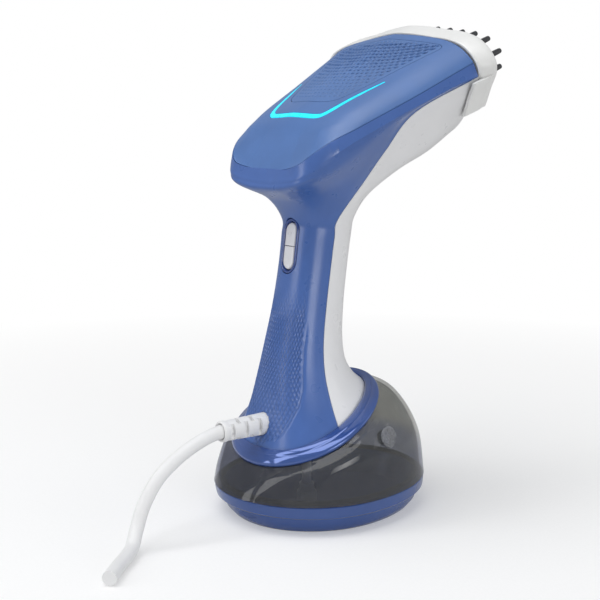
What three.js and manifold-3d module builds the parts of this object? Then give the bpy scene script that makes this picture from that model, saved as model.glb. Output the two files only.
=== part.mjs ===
// A handheld garment steamer standing on its water tank, in millimetres.
// +X is the way the steam leaves, +Y is the steamer's left, +Z is up.
// The origin is on the ground, under the middle of the base.
import * as THREE from 'three';
import { mergeVertices } from 'three/addons/utils/BufferGeometryUtils.js';
import Module from 'manifold-3d';

const wasm = await Module();
wasm.setup();

// ---------------------------------------------------------------- driving dimensions
const GAP = 0.3; // between neighbouring pieces
const WALL = 2.0; // moulded housing wall
const REACH = 90; // half-length of the blocks that trim the housing

// Cross-sections of the handle from the collar up to the neck. Each one lies in a plane that
// holds its rear point, its front point and the Y direction.
const HANDLE = [
  { rear: [-47.2, 39.0], front: [19.2, 68.0], half: 33.0 },
  { rear: [-42.4, 55.5], front: [13.0, 73.2], half: 26.8 },
  { rear: [-38.8, 74.4], front: [8.4, 81.0], half: 21.6 },
  { rear: [-35.4, 91.0], front: [6.9, 93.5], half: 18.6 },
  { rear: [-31.0, 110.0], front: [7.9, 111.0], half: 16.9 },
  { rear: [-27.2, 130.0], front: [10.3, 130.5], half: 16.3 },
  { rear: [-24.9, 147.0], front: [12.9, 147.5], half: 16.5 },
  { rear: [-24.4, 156.0], front: [15.0, 156.5], half: 17.6 },
];
// How far round each key point of a section sits: part of the depth, part of the half-width.
const SECTION_KEYS = [
  [0, 0], [0.013, 0.34], [0.058, 0.64], [0.14, 0.84], [0.24, 0.95], [0.34, 0.995],
  [0.43, 1], [0.6, 0.91], [0.8, 0.68], [0.95, 0.35], [1, 0],
];
// The rising neck, the lip under the head's rear, the head's side, and the rim round its top.
const NECK = [
  [-30.8, 0, 165.8], [-30, 12, 166.3], [-26.8, 20.3, 168.3], [-20.5, 25.2, 170.8], [-13, 27.2, 173.3],
  [-4, 27, 175], [3.4, 25, 175.3], [9, 21.2, 172], [15.5, 15.3, 169.3], [20.5, 8, 167.5], [22, 0, 167],
];
const LIP = [
  [-41.5, 0, 171.6], [-41.6, 16, 172.2], [-39, 29.5, 174.8], [-29.5, 37, 180], [-15, 40, 187],
  [-1, 39, 191.5], [8.8, 35.5, 191.5], [14.5, 36, 193.5], [27, 27, 184], [35, 13.5, 179.5],
  [37, 0, 178.3],
];
const SIDE = [
  [-41.8, 0, 175.2], [-42.2, 17, 176.2], [-40.7, 31, 178.8], [-31, 39.8, 185], [-15, 44.8, 193.5],
  [5, 47.8, 205], [17.5, 47.8, 210.6], [29.5, 48, 209.3], [42, 36, 196], [50, 19, 188.6], [52, 0, 186.8],
];
// Steam outlet: it leans back from the crown and bows forward, and its outline is a shield.
const NOSE_TILT = THREE.MathUtils.degToRad(21);
const NOSE_BOW = 5; // how far the outlet's sides sit behind its middle
const NOSE_HALF = 60; // half-width of the outlet
const CROWN = [44.8, 251.8];
const RIM_SIDE = [
  [-40.8, 0, 178.2], [-41.3, 17, 179.2], [-40.3, 31.3, 181.8], [-31, 40.8, 189], [-14.5, 46.8, 199],
  [15, 53.5, 214],
];
// The rim's front part runs round the outlet: down from the crown, across.
const RIM_FRONT = [[23.5, 59.8], [35, 50.5], [49.5, 35], [58, 18], [61, 0]];
// Upper edge of the narrow band round the head, and the ridge line that the top face follows.
const EDGE = [
  [-39.3, 0, 181.9], [-40.1, 16, 182.8], [-39.3, 29.3, 185.7], [-30, 39.2, 195.7], [-13, 45.4, 205],
  [15, 51.9, 218.9],
];
const EDGE_FRONT = [16, 58.4];
const RIDGE = [
  [-39.3, 181.9], [-39, 182.7], [-37, 186.4], [-30, 198.4], [-21, 211], [10, 230.3], [44.8, 251.8],
];
const SPLIT_KEY = 6; // the key where the blue rear half meets the white front half

// ---------------------------------------------------------------- solids
// A closed geometry as a solid, turned outwards whichever way it was wound.
const toSolid = (geometry) => {
  const plain = geometry.index ? geometry.toNonIndexed() : geometry.clone();
  plain.deleteAttribute('normal');
  plain.deleteAttribute('uv');
  const merged = mergeVertices(plain, 1e-3);
  const index = merged.index.array;
  const corner = (i) => new THREE.Vector3().fromBufferAttribute(merged.attributes.position, i);
  const faces = [];
  let volume = 0;
  for (let i = 0; i < index.length; i += 3) {
    const [a, b, c] = index.slice(i, i + 3);
    if (a === b || b === c || c === a) continue;
    faces.push([a, b, c]);
    volume += corner(a).dot(corner(b).cross(corner(c)));
  }
  const outward = volume > 0 ? faces : faces.map(([a, b, c]) => [a, c, b]);
  const mesh = new wasm.Mesh({
    numProp: 3,
    vertProperties: merged.attributes.position.array,
    triVerts: new Uint32Array(outward.flat()),
  });
  return new wasm.Manifold(mesh);
};

const toGeometry = (solid) => {
  const mesh = solid.getMesh();
  const geometry = new THREE.BufferGeometry();
  geometry.setAttribute('position', new THREE.BufferAttribute(mesh.vertProperties, 3));
  geometry.setIndex(new THREE.BufferAttribute(mesh.triVerts, 1));
  const flat = geometry.toNonIndexed();
  flat.computeVertexNormals();
  return flat;
};

const join = (...solids) => solids.reduce((sum, solid) => sum.add(solid));
const cut = (solid, ...tools) => tools.reduce((rest, tool) => rest.subtract(tool), solid);

// The main body of a solid that a trim has left with loose slivers.
const mainBody = (solid) => solid.decompose().sort((a, b) => b.volume() - a.volume())[0];

const closed = (triangles) => {
  const geometry = new THREE.BufferGeometry();
  geometry.setAttribute('position', new THREE.Float32BufferAttribute(triangles.flat(2), 3));
  return toSolid(geometry);
};

const quad = (out, a, b, c, d) => out.push([a, b, c], [a, c, d]);
const middle = (points) => [0, 1, 2].map((k) => points.reduce((s, p) => s + p[k], 0) / points.length);

// Wall of quads through closed loops of equally many points.
const wallThrough = (loops) => {
  const out = [];
  const count = loops[0].length;
  for (let i = 0; i + 1 < loops.length; i++) {
    for (let j = 0; j < count; j++) {
      const k = (j + 1) % count;
      quad(out, loops[i][j], loops[i][k], loops[i + 1][k], loops[i + 1][j]);
    }
  }
  return out;
};
// A ring whose section is the chain of loops, closed on itself.
const ringThrough = (loops) => closed(wallThrough([...loops, loops[0]]));
// Skin through closed loops, with a fan over each end.
const loft = (loops) => {
  const out = wallThrough(loops);
  const count = loops[0].length;
  const [first, last] = [loops[0], loops[loops.length - 1]];
  const [low, high] = [middle(first), middle(last)];
  for (let j = 0; j < count; j++) {
    const k = (j + 1) % count;
    out.push([low, first[k], first[j]], [high, last[j], last[k]]);
  }
  return closed(out);
};

const placed = (geometry, matrix) => toSolid(geometry.clone().applyMatrix4(matrix));
const frameAt = (origin, across, up, out) =>
  new THREE.Matrix4().makeBasis(across, up, out).setPosition(...origin);
const at = (x, y, z) => new THREE.Matrix4().makeTranslation(x, y, z);
// A frame on the middle plane: local x is +Y, local z points at this elevation above +X.
const facing = (x, z, degrees) => {
  const angle = THREE.MathUtils.degToRad(degrees);
  const [c, s] = [Math.cos(angle), Math.sin(angle)];
  const axes = [new THREE.Vector3(0, 1, 0), new THREE.Vector3(-s, 0, c), new THREE.Vector3(c, 0, s)];
  return frameAt([x, 0, z], ...axes);
};

// Solids in a local frame: x across, y up, z outwards.
const slab = (matrix, shape, from, to, steps = 6) => {
  const geometry = new THREE.ExtrudeGeometry(shape, {
    depth: to - from,
    bevelEnabled: false,
    curveSegments: steps,
  });
  return placed(geometry, matrix.clone().multiply(at(0, 0, from)));
};
const post = (matrix, x, y, radius, from, to, sides = 16) => {
  const geometry = new THREE.CylinderGeometry(radius, radius, to - from, sides);
  geometry.rotateX(Math.PI / 2);
  return placed(geometry, matrix.clone().multiply(at(x, y, (from + to) / 2)));
};
const block = (matrix, x, y, z, w, h, d) =>
  placed(new THREE.BoxGeometry(w, h, d), matrix.clone().multiply(at(x, y, z)));

const capsule = (width, height) => {
  const radius = width / 2;
  const shape = new THREE.Shape();
  shape.absarc(0, height / 2 - radius, radius, 0, Math.PI);
  shape.absarc(0, radius - height / 2, radius, Math.PI, 2 * Math.PI);
  shape.closePath();
  return shape;
};
const disc = (radius, hole = 0) => {
  const shape = new THREE.Shape();
  shape.absarc(0, 0, radius, 0, 2 * Math.PI);
  if (hole) shape.holes.push(new THREE.Path().absarc(0, 0, hole, 0, 2 * Math.PI));
  return shape;
};
const swept = (matrix, shape, points, steps, curveSegments = 5) => {
  const path = new THREE.CatmullRomCurve3(points.map((p) => new THREE.Vector3(...p)));
  return placed(new THREE.ExtrudeGeometry(shape, { steps, extrudePath: path, curveSegments }), matrix);
};
const turned = (matrix, profile, sides = 20) => {
  const geometry = new THREE.LatheGeometry(profile.map(([r, h]) => new THREE.Vector2(r, h)), sides);
  geometry.rotateX(Math.PI / 2);
  return placed(geometry, matrix);
};

// ---------------------------------------------------------------- housing surface
const FORWARD = new THREE.Vector3(Math.cos(NOSE_TILT), 0, Math.sin(NOSE_TILT));
const DOWN_NOSE = [Math.sin(NOSE_TILT), -Math.cos(NOSE_TILT)];
const onNose = ([down, across], out = 0) => {
  const ahead = out - NOSE_BOW * (across / NOSE_HALF) ** 2;
  return [
    CROWN[0] + down * DOWN_NOSE[0] + ahead * FORWARD.x,
    across,
    CROWN[1] + down * DOWN_NOSE[1] + ahead * FORWARD.z,
  ];
};

const spline = (a, b, c, d, t) =>
  b.map((_, k) => {
    const bend = 2 * a[k] - 5 * b[k] + 4 * c[k] - d[k];
    const twist = 3 * (b[k] - c[k]) + d[k] - a[k];
    return b[k] + 0.5 * t * (c[k] - a[k] + t * (bend + t * twist));
  });
// Points along a line of keys, with the line carried on past both ends.
const smoothLine = (keys, steps) => {
  const last = keys.length - 1;
  const before = keys[0].map((v, k) => 2 * v - keys[1][k]);
  const after = keys[last].map((v, k) => 2 * v - keys[last - 1][k]);
  const all = [before, ...keys, after];
  const out = [];
  for (let i = 1; i <= last; i++) {
    const near = all.slice(i - 1, i + 3);
    for (let s = 0; s < steps; s++) out.push(spline(...near, s / steps));
  }
  out.push(keys[last]);
  return out;
};
// Closes a half loop (rear centre to front centre) with its mirror image and smooths it.
const mirrored = (half) => [...half, ...half.slice(1, -1).reverse().map(([x, y, z]) => [x, -y, z])];
const smoothLoop = (half, steps) => {
  const loop = mirrored(half);
  const count = loop.length;
  return loop.flatMap((_, i) => {
    const near = [-1, 0, 1, 2].map((k) => loop[(i + k + count) % count]);
    return Array.from({ length: steps }, (_unused, s) => spline(...near, s / steps));
  });
};
const handleHalf = ({ rear, front, half }) =>
  SECTION_KEYS.map(([depth, across]) => [
    rear[0] + depth * (front[0] - rear[0]),
    across * half,
    rear[1] + depth * (front[1] - rear[1]),
  ]);

const ROUND_STEPS = 2; // points per key round a section
const RIB_STEPS = 7; // points from one edge of the top face to the other
const rimHalf = [...RIM_SIDE, ...RIM_FRONT.map((key) => onNose(key))];
const bodyHalves = [...HANDLE.map(handleHalf), NECK, LIP, SIDE, rimHalf];

// Sections up the housing: the handle's own, then with one more between each pair in the head.
const bodyLoops = () => {
  const columns = bodyHalves[0].map((_, k) => smoothLine(bodyHalves.map((half) => half[k]), 2));
  const rows = columns[0].map((_, i) => i).filter((i) => i % 2 === 0 || i > 2 * HANDLE.length - 2);
  return rows.map((i) => smoothLoop(columns.map((column) => column[i]), ROUND_STEPS));
};
const edgeLine = () => smoothLine([...EDGE, onNose(EDGE_FRONT)], ROUND_STEPS);
const ridgeLine = () => smoothLine(RIDGE.map(([x, z]) => [x, 0, z]), ROUND_STEPS);

// How the top face falls from the ridge to its edge: a gentle slope, then a rounded shoulder.
const crownFall = (t) => 0.42 * t ** 1.3 + 0.58 * t ** 8;
const ribs = () => {
  const ridge = ridgeLine();
  return edgeLine().map((edge, j) => {
    const rib = [];
    for (let s = 0; s < RIB_STEPS; s++) {
      const across = (2 * s) / (RIB_STEPS - 1) - 1;
      const fall = crownFall(Math.abs(across));
      const [x, z] = [0, 2].map((k) => ridge[j][k] + fall * (edge[k] - ridge[j][k]));
      rib.push([x, across * edge[1], z]);
    }
    return rib;
  });
};

// The whole housing as one skin: body loops, the band, the ribs of the top, and both ends.
const housingSkin = () => {
  const loops = bodyLoops();
  const top = ribs();
  const count = loops[0].length;
  const reach = SPLIT_KEY * ROUND_STEPS;
  const rim = loops[loops.length - 1];
  const side = [];
  for (let i = 0; i + 1 < loops.length; i++) {
    for (let j = 0; j < count; j++) {
      const k = (j + 1) % count;
      quad(side, loops[i][k], loops[i][j], loops[i + 1][j], loops[i + 1][k]);
    }
  }
  const right = (j) => top[j][0];
  const left = (j) => top[j][RIB_STEPS - 1];
  for (let j = 0; j < reach; j++) {
    quad(side, rim[j + 1], rim[j], left(j), left(j + 1));
    quad(side, rim[(count - j) % count], rim[count - j - 1], right(j + 1), right(j));
    for (let s = 0; s + 1 < RIB_STEPS; s++) {
      quad(side, top[j][s], top[j + 1][s], top[j + 1][s + 1], top[j][s + 1]);
    }
  }
  const mouth = [...rim.slice(reach, count - reach + 1), ...top[reach]];
  return { side, foot: loops[0], mouth };
};
const pointKey = (p) => p.map((v) => Math.round(v * 500)).join(',');
const capped = (side, foot, mouth) => {
  const [low, front] = [middle(foot), middle(mouth)];
  const caps = [];
  foot.forEach((p, j) => caps.push([low, p, foot[(j + 1) % foot.length]]));
  mouth.forEach((p, j) => caps.push([front, mouth[(j + 1) % mouth.length], p]));
  return closed([...side, ...caps]);
};
// The skin moved inwards by depth, and carried past its two open ends.
const housingInside = (skin, depth) => {
  const normals = new Map();
  for (const [a, b, c] of skin.side) {
    const [u, v, w] = [a, b, c].map((p) => new THREE.Vector3(...p));
    const normal = v.sub(u).cross(w.sub(u));
    for (const p of [a, b, c]) {
      const key = pointKey(p);
      if (!normals.has(key)) normals.set(key, new THREE.Vector3());
      normals.get(key).add(normal);
    }
  }
  const footAxis = new THREE.Vector3(...skin.foot[0]).sub(new THREE.Vector3(...middle(skin.foot)));
  footAxis.cross(new THREE.Vector3(0, 1, 0)).normalize();
  if (footAxis.z > 0) footAxis.negate();
  const footKeys = new Set(skin.foot.map(pointKey));
  const mouthKeys = new Set(skin.mouth.map(pointKey));
  const moved = (p) => {
    const key = pointKey(p);
    const q = new THREE.Vector3(...p).addScaledVector(normals.get(key).clone().normalize(), -depth);
    if (footKeys.has(key)) q.addScaledVector(footAxis, WALL);
    if (mouthKeys.has(key)) q.addScaledVector(FORWARD, WALL);
    return q.toArray();
  };
  return capped(skin.side.map((face) => face.map(moved)), skin.foot.map(moved), skin.mouth.map(moved));
};

// A wall-to-wall block whose outline in X and Z is the given polygon.
const prism = (outline) => {
  const shape = new THREE.Shape(outline.map(([x, z]) => new THREE.Vector2(x, z)));
  const geometry = new THREE.ExtrudeGeometry(shape, { depth: 2 * REACH, bevelEnabled: false });
  geometry.rotateX(Math.PI / 2);
  geometry.translate(0, REACH, 0);
  return toSolid(geometry);
};
// A line in X and Z moved sideways, to its left if the step is positive.
const beside = (line, step) =>
  line.map((p, i) => {
    const [a, b] = [line[Math.max(i - 1, 0)], line[Math.min(i + 1, line.length - 1)]];
    const length = Math.hypot(b[0] - a[0], b[1] - a[1]);
    return [p[0] - (step * (b[1] - a[1])) / length, p[1] + (step * (b[0] - a[0])) / length];
  });
const flatXZ = (line) => line.map(([x, , z]) => [x, z]);

// The top cover's outline, seen square to the head, as a block through the head.
const COVER_VIEW = THREE.MathUtils.degToRad(45);
const coverBlock = (grow) => {
  const [along, lift] = [Math.cos(COVER_VIEW), Math.sin(COVER_VIEW)];
  const seen = edgeLine().map(([x, y, z]) => [x * along + z * lift, y]);
  const end = seen[seen.length - 1];
  const half = beside([...seen, [end[0] + 30, end[1]]], grow);
  const outline = [...half.slice(1).map(([u, v]) => [u, -v]).reverse(), ...half.slice(1)];
  const shape = new THREE.Shape(outline.map(([u, v]) => new THREE.Vector2(u, v)));
  const geometry = new THREE.ExtrudeGeometry(shape, { depth: 4 * REACH, bevelEnabled: false });
  geometry.translate(0, 0, -REACH);
  const [ahead, square] = [new THREE.Vector3(along, 0, lift), new THREE.Vector3(-lift, 0, along)];
  return placed(geometry, frameAt([0, 0, 0], ahead, new THREE.Vector3(0, 1, 0), square));
};
const COVER_REBATE = 2.3; // how far the cover's edge reaches down inside the band

const housing = () => {
  const skin = housingSkin();
  const outer = capped(skin.side, skin.foot, skin.mouth);
  const shell = cut(outer, housingInside(skin, WALL), bowedLayer(0, 20));
  const core = housingInside(skin, WALL + GAP);
  const splitAt = SPLIT_KEY * ROUND_STEPS;
  const split = flatXZ(bodyLoops().map((loop) => loop[splitAt]));
  const topLine = flatXZ(edgeLine());
  const aboveTop = (depth) => {
    const line = beside(topLine, -depth);
    const end = line[line.length - 1];
    return prism([
      [-REACH, line[0][1] - 1],
      [line[0][0], line[0][1] - 1],
      ...line,
      [end[0] + 40, end[1] + 40],
      [end[0] + 40, 300],
      [-REACH, 300],
    ]);
  };
  const [last, end] = split.slice(-2);
  const onward = [end[0] + 12, end[1] + (12 * (end[1] - last[1])) / (end[0] - last[0])];
  const line = [[split[0][0], 10], ...split, onward];
  const rear = prism([[-REACH, 10], ...beside(line, GAP / 2), [onward[0], 300], [-REACH, 300]]);
  const front = prism([...beside(line, -GAP / 2), [REACH + 20, onward[1]], [REACH + 20, 10]]);
  const cover = shell.intersect(coverBlock(-GAP / 2)).intersect(aboveTop(COVER_REBATE));
  const reached = join(aboveTop(COVER_REBATE), aboveTop(COVER_REBATE + GAP));
  const coverHole = coverBlock(GAP / 2).intersect(reached);
  return {
    core,
    rearHalf: outer.intersect(rear),
    cover: mainBody(cover),
    rear: mainBody(cut(shell.intersect(rear), coverHole)),
    front: mainBody(shell.intersect(front)),
  };
};

// ---------------------------------------------------------------- local frames
const UPRIGHT = facing(0, 0, 90); // local y runs to the rear
const NOSE = facing(CROWN[0], CROWN[1], THREE.MathUtils.radToDeg(NOSE_TILT)); // local y climbs
const SLOPE = facing(CROWN[0], CROWN[1], 125); // square to the top face; local y runs to the rear
const GRIP = facing(-25.4, 142.3, 172.65); // square to the handle's rear; local y runs down
const FOOT = facing(-14, 53.5, 113.6); // square to the handle's lower end; local y runs to the rear
const CORD = facing(-43.5, 50.5, 180); // local z runs out to the rear

// ---------------------------------------------------------------- top cover inserts
const LIGHT_LINE = [
  [79.8, 0], [79.8, 17.5], [78, 21.8], [73, 24.6], [60, 28.6], [44.9, 34.5],
]; // behind the crown, across
const LIGHT_WIDTH = [3.2, 3.2, 3.2, 3, 2.3, 0.9];
const PANEL_EDGE = [
  [68.4, 0], [68.2, 12.5], [66, 18.5], [61, 22.6], [45, 29.4], [30, 35], [15, 41], [9.5, 43],
  [7.5, 40], [5, 0],
];
const acrossMirrored = (half) => [...half.slice(1).map(([u, v]) => [u, -v]).reverse(), ...half];
const slopePrism = (outline) => {
  const shape = new THREE.Shape(outline.map(([back, across]) => new THREE.Vector2(across, back)));
  return slab(SLOPE, shape, -40, 15);
};
const lightPrism = (grow) => {
  const line = acrossMirrored(LIGHT_LINE);
  const widths = [...LIGHT_WIDTH.slice(1).reverse(), ...LIGHT_WIDTH];
  const side = (sign) => line.map((_, i) => beside(line, sign * (widths[i] / 2 + grow))[i]);
  return slopePrism([...side(1), ...side(-1).reverse()]);
};
const panelPrism = (grow) => {
  const line = acrossMirrored(PANEL_EDGE.slice(0, -1));
  return slopePrism([...beside(line, -grow), [PANEL_EDGE[PANEL_EDGE.length - 1][0] - grow, 0]]);
};
const topPieces = (cover) => ({
  cover: cut(cover, lightPrism(GAP / 2), panelPrism(GAP / 2)),
  guide: cover.intersect(lightPrism(-GAP / 2)),
  panel: cover.intersect(panelPrism(-GAP / 2)),
  board: block(SLOPE, 0, 78.5, -8.5, 30, 6, 1.6),
});

// ---------------------------------------------------------------- steam outlet
// The outlet's outline, from its top middle down one side: down from the crown, across.
const OUTLET = [
  [-0.7, 0], [0.4, 14], [2.5, 28], [4.3, 42], [8.1, 53], [15.7, 60], [23, 59.6], [31.8, 52], [42.5, 43],
  [50.8, 33.5], [57, 20.7], [61, 0],
];
const OUTLET_LOW = 61; // its lowest point, down from the crown
const OUTLET_MIDDLE = 28; // down from the crown
const outletLoop = (grow, ahead, pivot = 0, steps = 2) => {
  const keys = OUTLET.map(([down, across]) => [
    down + ((down - pivot) * grow) / (OUTLET_LOW - pivot),
    across * (1 + grow / NOSE_HALF),
    0,
  ]);
  const whole = [...keys, ...keys.slice(1, -1).reverse().map(([down, across]) => [down, -across, 0])];
  const count = whole.length;
  return whole.flatMap((_, i) => {
    const near = [-1, 0, 1, 2].map((k) => whole[(i + k + count) % count]);
    return Array.from({ length: steps }, (_unused, s) => spline(...near, s / steps));
  }).map(([down, across]) => onNose([down, across], ahead));
};
// The outline drawn smaller about its middle, as a flat shape in the outlet's frame.
const shield = (acrossInset, downInset = acrossInset) => {
  const wide = 1 - acrossInset / NOSE_HALF;
  const tall = 1 - downInset / (OUTLET_LOW - OUTLET_MIDDLE);
  const half = OUTLET.map(([down, across]) => [
    OUTLET_MIDDLE + (down - OUTLET_MIDDLE) * tall,
    across * wide,
  ]);
  return new THREE.Shape(acrossMirrored(half).map(([down, across]) => new THREE.Vector2(across, -down)));
};
// Everything between two bowed faces, this far ahead of the outlet.
const bowedLayer = (from, to) => {
  const steps = Array.from({ length: 13 }, (_, i) => (i / 6 - 1) * 70);
  const bow = (x) => -NOSE_BOW * (x / NOSE_HALF) ** 2;
  const ahead = steps.map((x) => new THREE.Vector2(x, to + bow(x)));
  const behind = steps.map((x) => new THREE.Vector2(x, from + bow(x)));
  const shape = new THREE.Shape([...ahead, ...behind.reverse()]);
  const geometry = new THREE.ExtrudeGeometry(shape, { depth: 100, bevelEnabled: false });
  geometry.rotateX(Math.PI / 2);
  geometry.translate(0, 20, 0);
  return placed(geometry, NOSE);
};

const PLATE_FRONT = -3;
const CHAMBER = [19, 13]; // how far its outline sits inside the outlet's, across and down
const SCREW_ACROSS = 46.5;
const SCREW_DOWN = 24;
const sides = [-1, 1];

const nozzleFrame = (core) => {
  const ring = cut(core.intersect(bowedLayer(-10, 1.8)), slab(NOSE, shield(8), -30, 15));
  const lugs = sides.map((side) => block(NOSE, side * 48.4, -SCREW_DOWN, -10.7, 10, 9, 6.4));
  const holes = sides.map((side) => post(NOSE, side * SCREW_ACROSS, -SCREW_DOWN, 1.7, -16, 0, 10));
  return mainBody(cut(join(mainBody(ring), ...lugs.map((lug) => lug.intersect(core))), ...holes));
};
// Rows of steam holes: down from the crown, how many, distance between them.
const HOLE_ROWS = [[14, 5, 16], [24, 6, 15], [34, 4, 16], [43, 2, 16]];
const steamPlate = () => {
  const pan = slab(NOSE, shield(8.7), -7, PLATE_FRONT);
  const hollow = slab(NOSE, shield(10.4), -8, PLATE_FRONT - 1.5);
  const holes = HOLE_ROWS.flatMap(([down, count, pitch]) =>
    Array.from({ length: count }, (_, i) => {
      const across = (i - (count - 1) / 2) * pitch;
      return post(NOSE, across, -down, 1.5, -9, 0, 6);
    }),
  );
  return cut(pan, hollow, ...holes);
};
const plateGasket = () => {
  const body = slab(NOSE, shield(CHAMBER[0] + 0.5, CHAMBER[1] + 0.5), -7.2, -4.8);
  return cut(body, slab(NOSE, shield(22.5, 15.5), -8, -4));
};
const heatingChamber = (core) => {
  const body = slab(NOSE, shield(...CHAMBER), -28, -7.5);
  const hollow = slab(NOSE, shield(23, 16), -29, -12);
  const ports = [-24, -12, 12, 24].map((x) => post(NOSE, x, -OUTLET_MIDDLE, 3, -13, -7, 12));
  const ears = sides.map((side) => block(NOSE, side * 45, -SCREW_DOWN, -16, 10, 9, 3.4).intersect(core));
  const holes = sides.map((side) => post(NOSE, side * SCREW_ACROSS, -SCREW_DOWN, 1.7, -19, -9, 10));
  return cut(join(body, ...ears), hollow, ...ports, ...holes);
};
const HEATER_PATH = [
  [-24, -28, -40], [-24, -28, -32], [-24, -28, -25], [-21, -28, -20.5], [-12, -28, -19], [0, -28, -19],
  [12, -28, -19], [21, -28, -20.5], [24, -28, -25], [24, -28, -32], [24, -28, -40],
];
const heatingElement = () => swept(NOSE, disc(2.8), HEATER_PATH, 20, 4);
const BARB_DOWN = 38;
const chamberLid = () => {
  const plate = slab(NOSE, shield(...CHAMBER), -31, -28.3);
  const barb = post(NOSE, 0, -BARB_DOWN, 2.3, -39, -30.5, 12);
  const bore = post(NOSE, 0, -BARB_DOWN, 1.2, -40, -27, 12);
  const openings = sides.map((side) => post(NOSE, side * 24, -OUTLET_MIDDLE, 3.4, -33, -27, 16));
  return cut(join(plate, barb), bore, ...openings);
};
const chamberScrew = (side) => {
  const head = post(NOSE, side * SCREW_ACROSS, -SCREW_DOWN, 2.6, -20.2, -18, 14);
  const shank = post(NOSE, side * SCREW_ACROSS, -SCREW_DOWN, 1.4, -18.5, -7.8, 10);
  const slot = block(NOSE, side * SCREW_ACROSS, -SCREW_DOWN, -20.2, 0.8, 3.4, 1.6);
  return cut(join(head, shank), slot);
};
const thermostat = () => {
  const can = post(NOSE, 0, -23, 7, -36.5, -31.3, 20);
  const tabs = sides.map((side) => block(NOSE, side * 4, -23, -39, 0.8, 4.8, 6));
  return join(can, ...tabs);
};
const thermalFuse = () => {
  const can = swept(NOSE, disc(2), [[9, -39, -33.6], [25, -39, -33.6]], 1);
  const leads = swept(NOSE, disc(0.5), [[6, -39, -33.6], [28, -39, -33.6]], 1, 3);
  return join(can, leads);
};

// ---------------------------------------------------------------- brush ring
const BRUSH_SECTION = [
  [0.3, 0.7], [1.8, 3.2], [3.4, 7], [4, 9.5], [2.8, 11.8], [-1.5, 12.6], [-10.4, 12.2],
  [-10.4, 2.2], [-2, 2.2], [-1.6, 0.7],
]; // beyond the outlet's outline, ahead of it
const CLIP_SECTION = [[1.4, -5.8], [3.6, -5.2], [4.2, 4], [3.6, 8], [1.6, 8], [1.4, 2]];
const BRUSH_LOW = 43.5; // the arch ends this far down
const CLIP_HIGH = 25; // the clips at its two ends start this far down
const BRISTLE_GROW = -6.4;
const BRISTLE_LOW = 33; // the bristles stop this far down
const BRISTLE = { foot: 1.7, tip: 1.35, from: 11, to: 24 };
const loopsThrough = (section) =>
  section.map(([grow, ahead]) => outletLoop(grow, ahead, grow < 0 ? OUTLET_MIDDLE : 0));
// Everything round the outlet between two distances down from the crown.
const between = (high, low) => block(NOSE, 0, 5 - (high + low) / 2, 0, 150, 10 + low - high, 80);
const STRIP_HALF = 2.3; // half-width of the strip that holds the bristles
const archStrip = (grow, top) => {
  const [inner, outer] = [BRISTLE_GROW - STRIP_HALF - grow, BRISTLE_GROW + STRIP_HALF + grow];
  const low = 9.4 - grow;
  const strip = ringThrough(loopsThrough([[inner, low], [outer, low], [outer, top], [inner, top]]));
  return strip.intersect(between(0, BRISTLE_LOW + grow));
};
const brushFrame = () => {
  const ring = ringThrough(loopsThrough(BRUSH_SECTION));
  const arch = ring.intersect(between(0, BRUSH_LOW));
  const clips = ringThrough(loopsThrough(CLIP_SECTION)).intersect(between(CLIP_HIGH + 10, BRUSH_LOW));
  return cut(join(arch, clips), archStrip(GAP, 18));
};
// Evenly spaced feet for the bristles along the arch, as (down, across) pairs.
const bristleFeet = () => {
  const loop = outletLoop(BRISTLE_GROW, 0, OUTLET_MIDDLE, 6);
  const local = loop.map((p) => new THREE.Vector3(...p).applyMatrix4(NOSE.clone().invert()));
  const half = local.slice(0, local.length / 2).filter((p) => -p.y < BRISTLE_LOW - 2.5);
  const feet = [[-half[0].y, 0]];
  let travelled = 0;
  for (let i = 1; i < half.length; i++) {
    travelled += half[i].distanceTo(half[i - 1]);
    if (travelled < 9.4) continue;
    feet.push([-half[i].y, half[i].x], [-half[i].y, -half[i].x]);
    travelled = 0;
  }
  return feet;
};
const brushBristles = () => {
  const cones = bristleFeet().map(([down, across]) => {
    const geometry = new THREE.CylinderGeometry(BRISTLE.tip, BRISTLE.foot, BRISTLE.to - BRISTLE.from, 6);
    geometry.rotateX(Math.PI / 2);
    const centre = (BRISTLE.from + BRISTLE.to) / 2;
    geometry.translate(across, -down, centre - NOSE_BOW * (across / NOSE_HALF) ** 2);
    return placed(geometry, NOSE);
  });
  return join(archStrip(0, 12), ...cones);
};

// ---------------------------------------------------------------- buttons and their board
const BEZEL = [12.5, 28.6]; // width and height
const KEY_SPLIT = 0.4;
const BOARD_FACE = -13.2; // outer face of the control board
const POST_DOWN = 19.5;
const buttonBezel = () => {
  const body = slab(GRIP, capsule(...BEZEL), -5, 0.3);
  const flange = slab(GRIP, capsule(16, 31), -5, -3.8);
  return cut(join(body, flange), slab(GRIP, capsule(9.2, 24.7), -6, 1));
};
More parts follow.
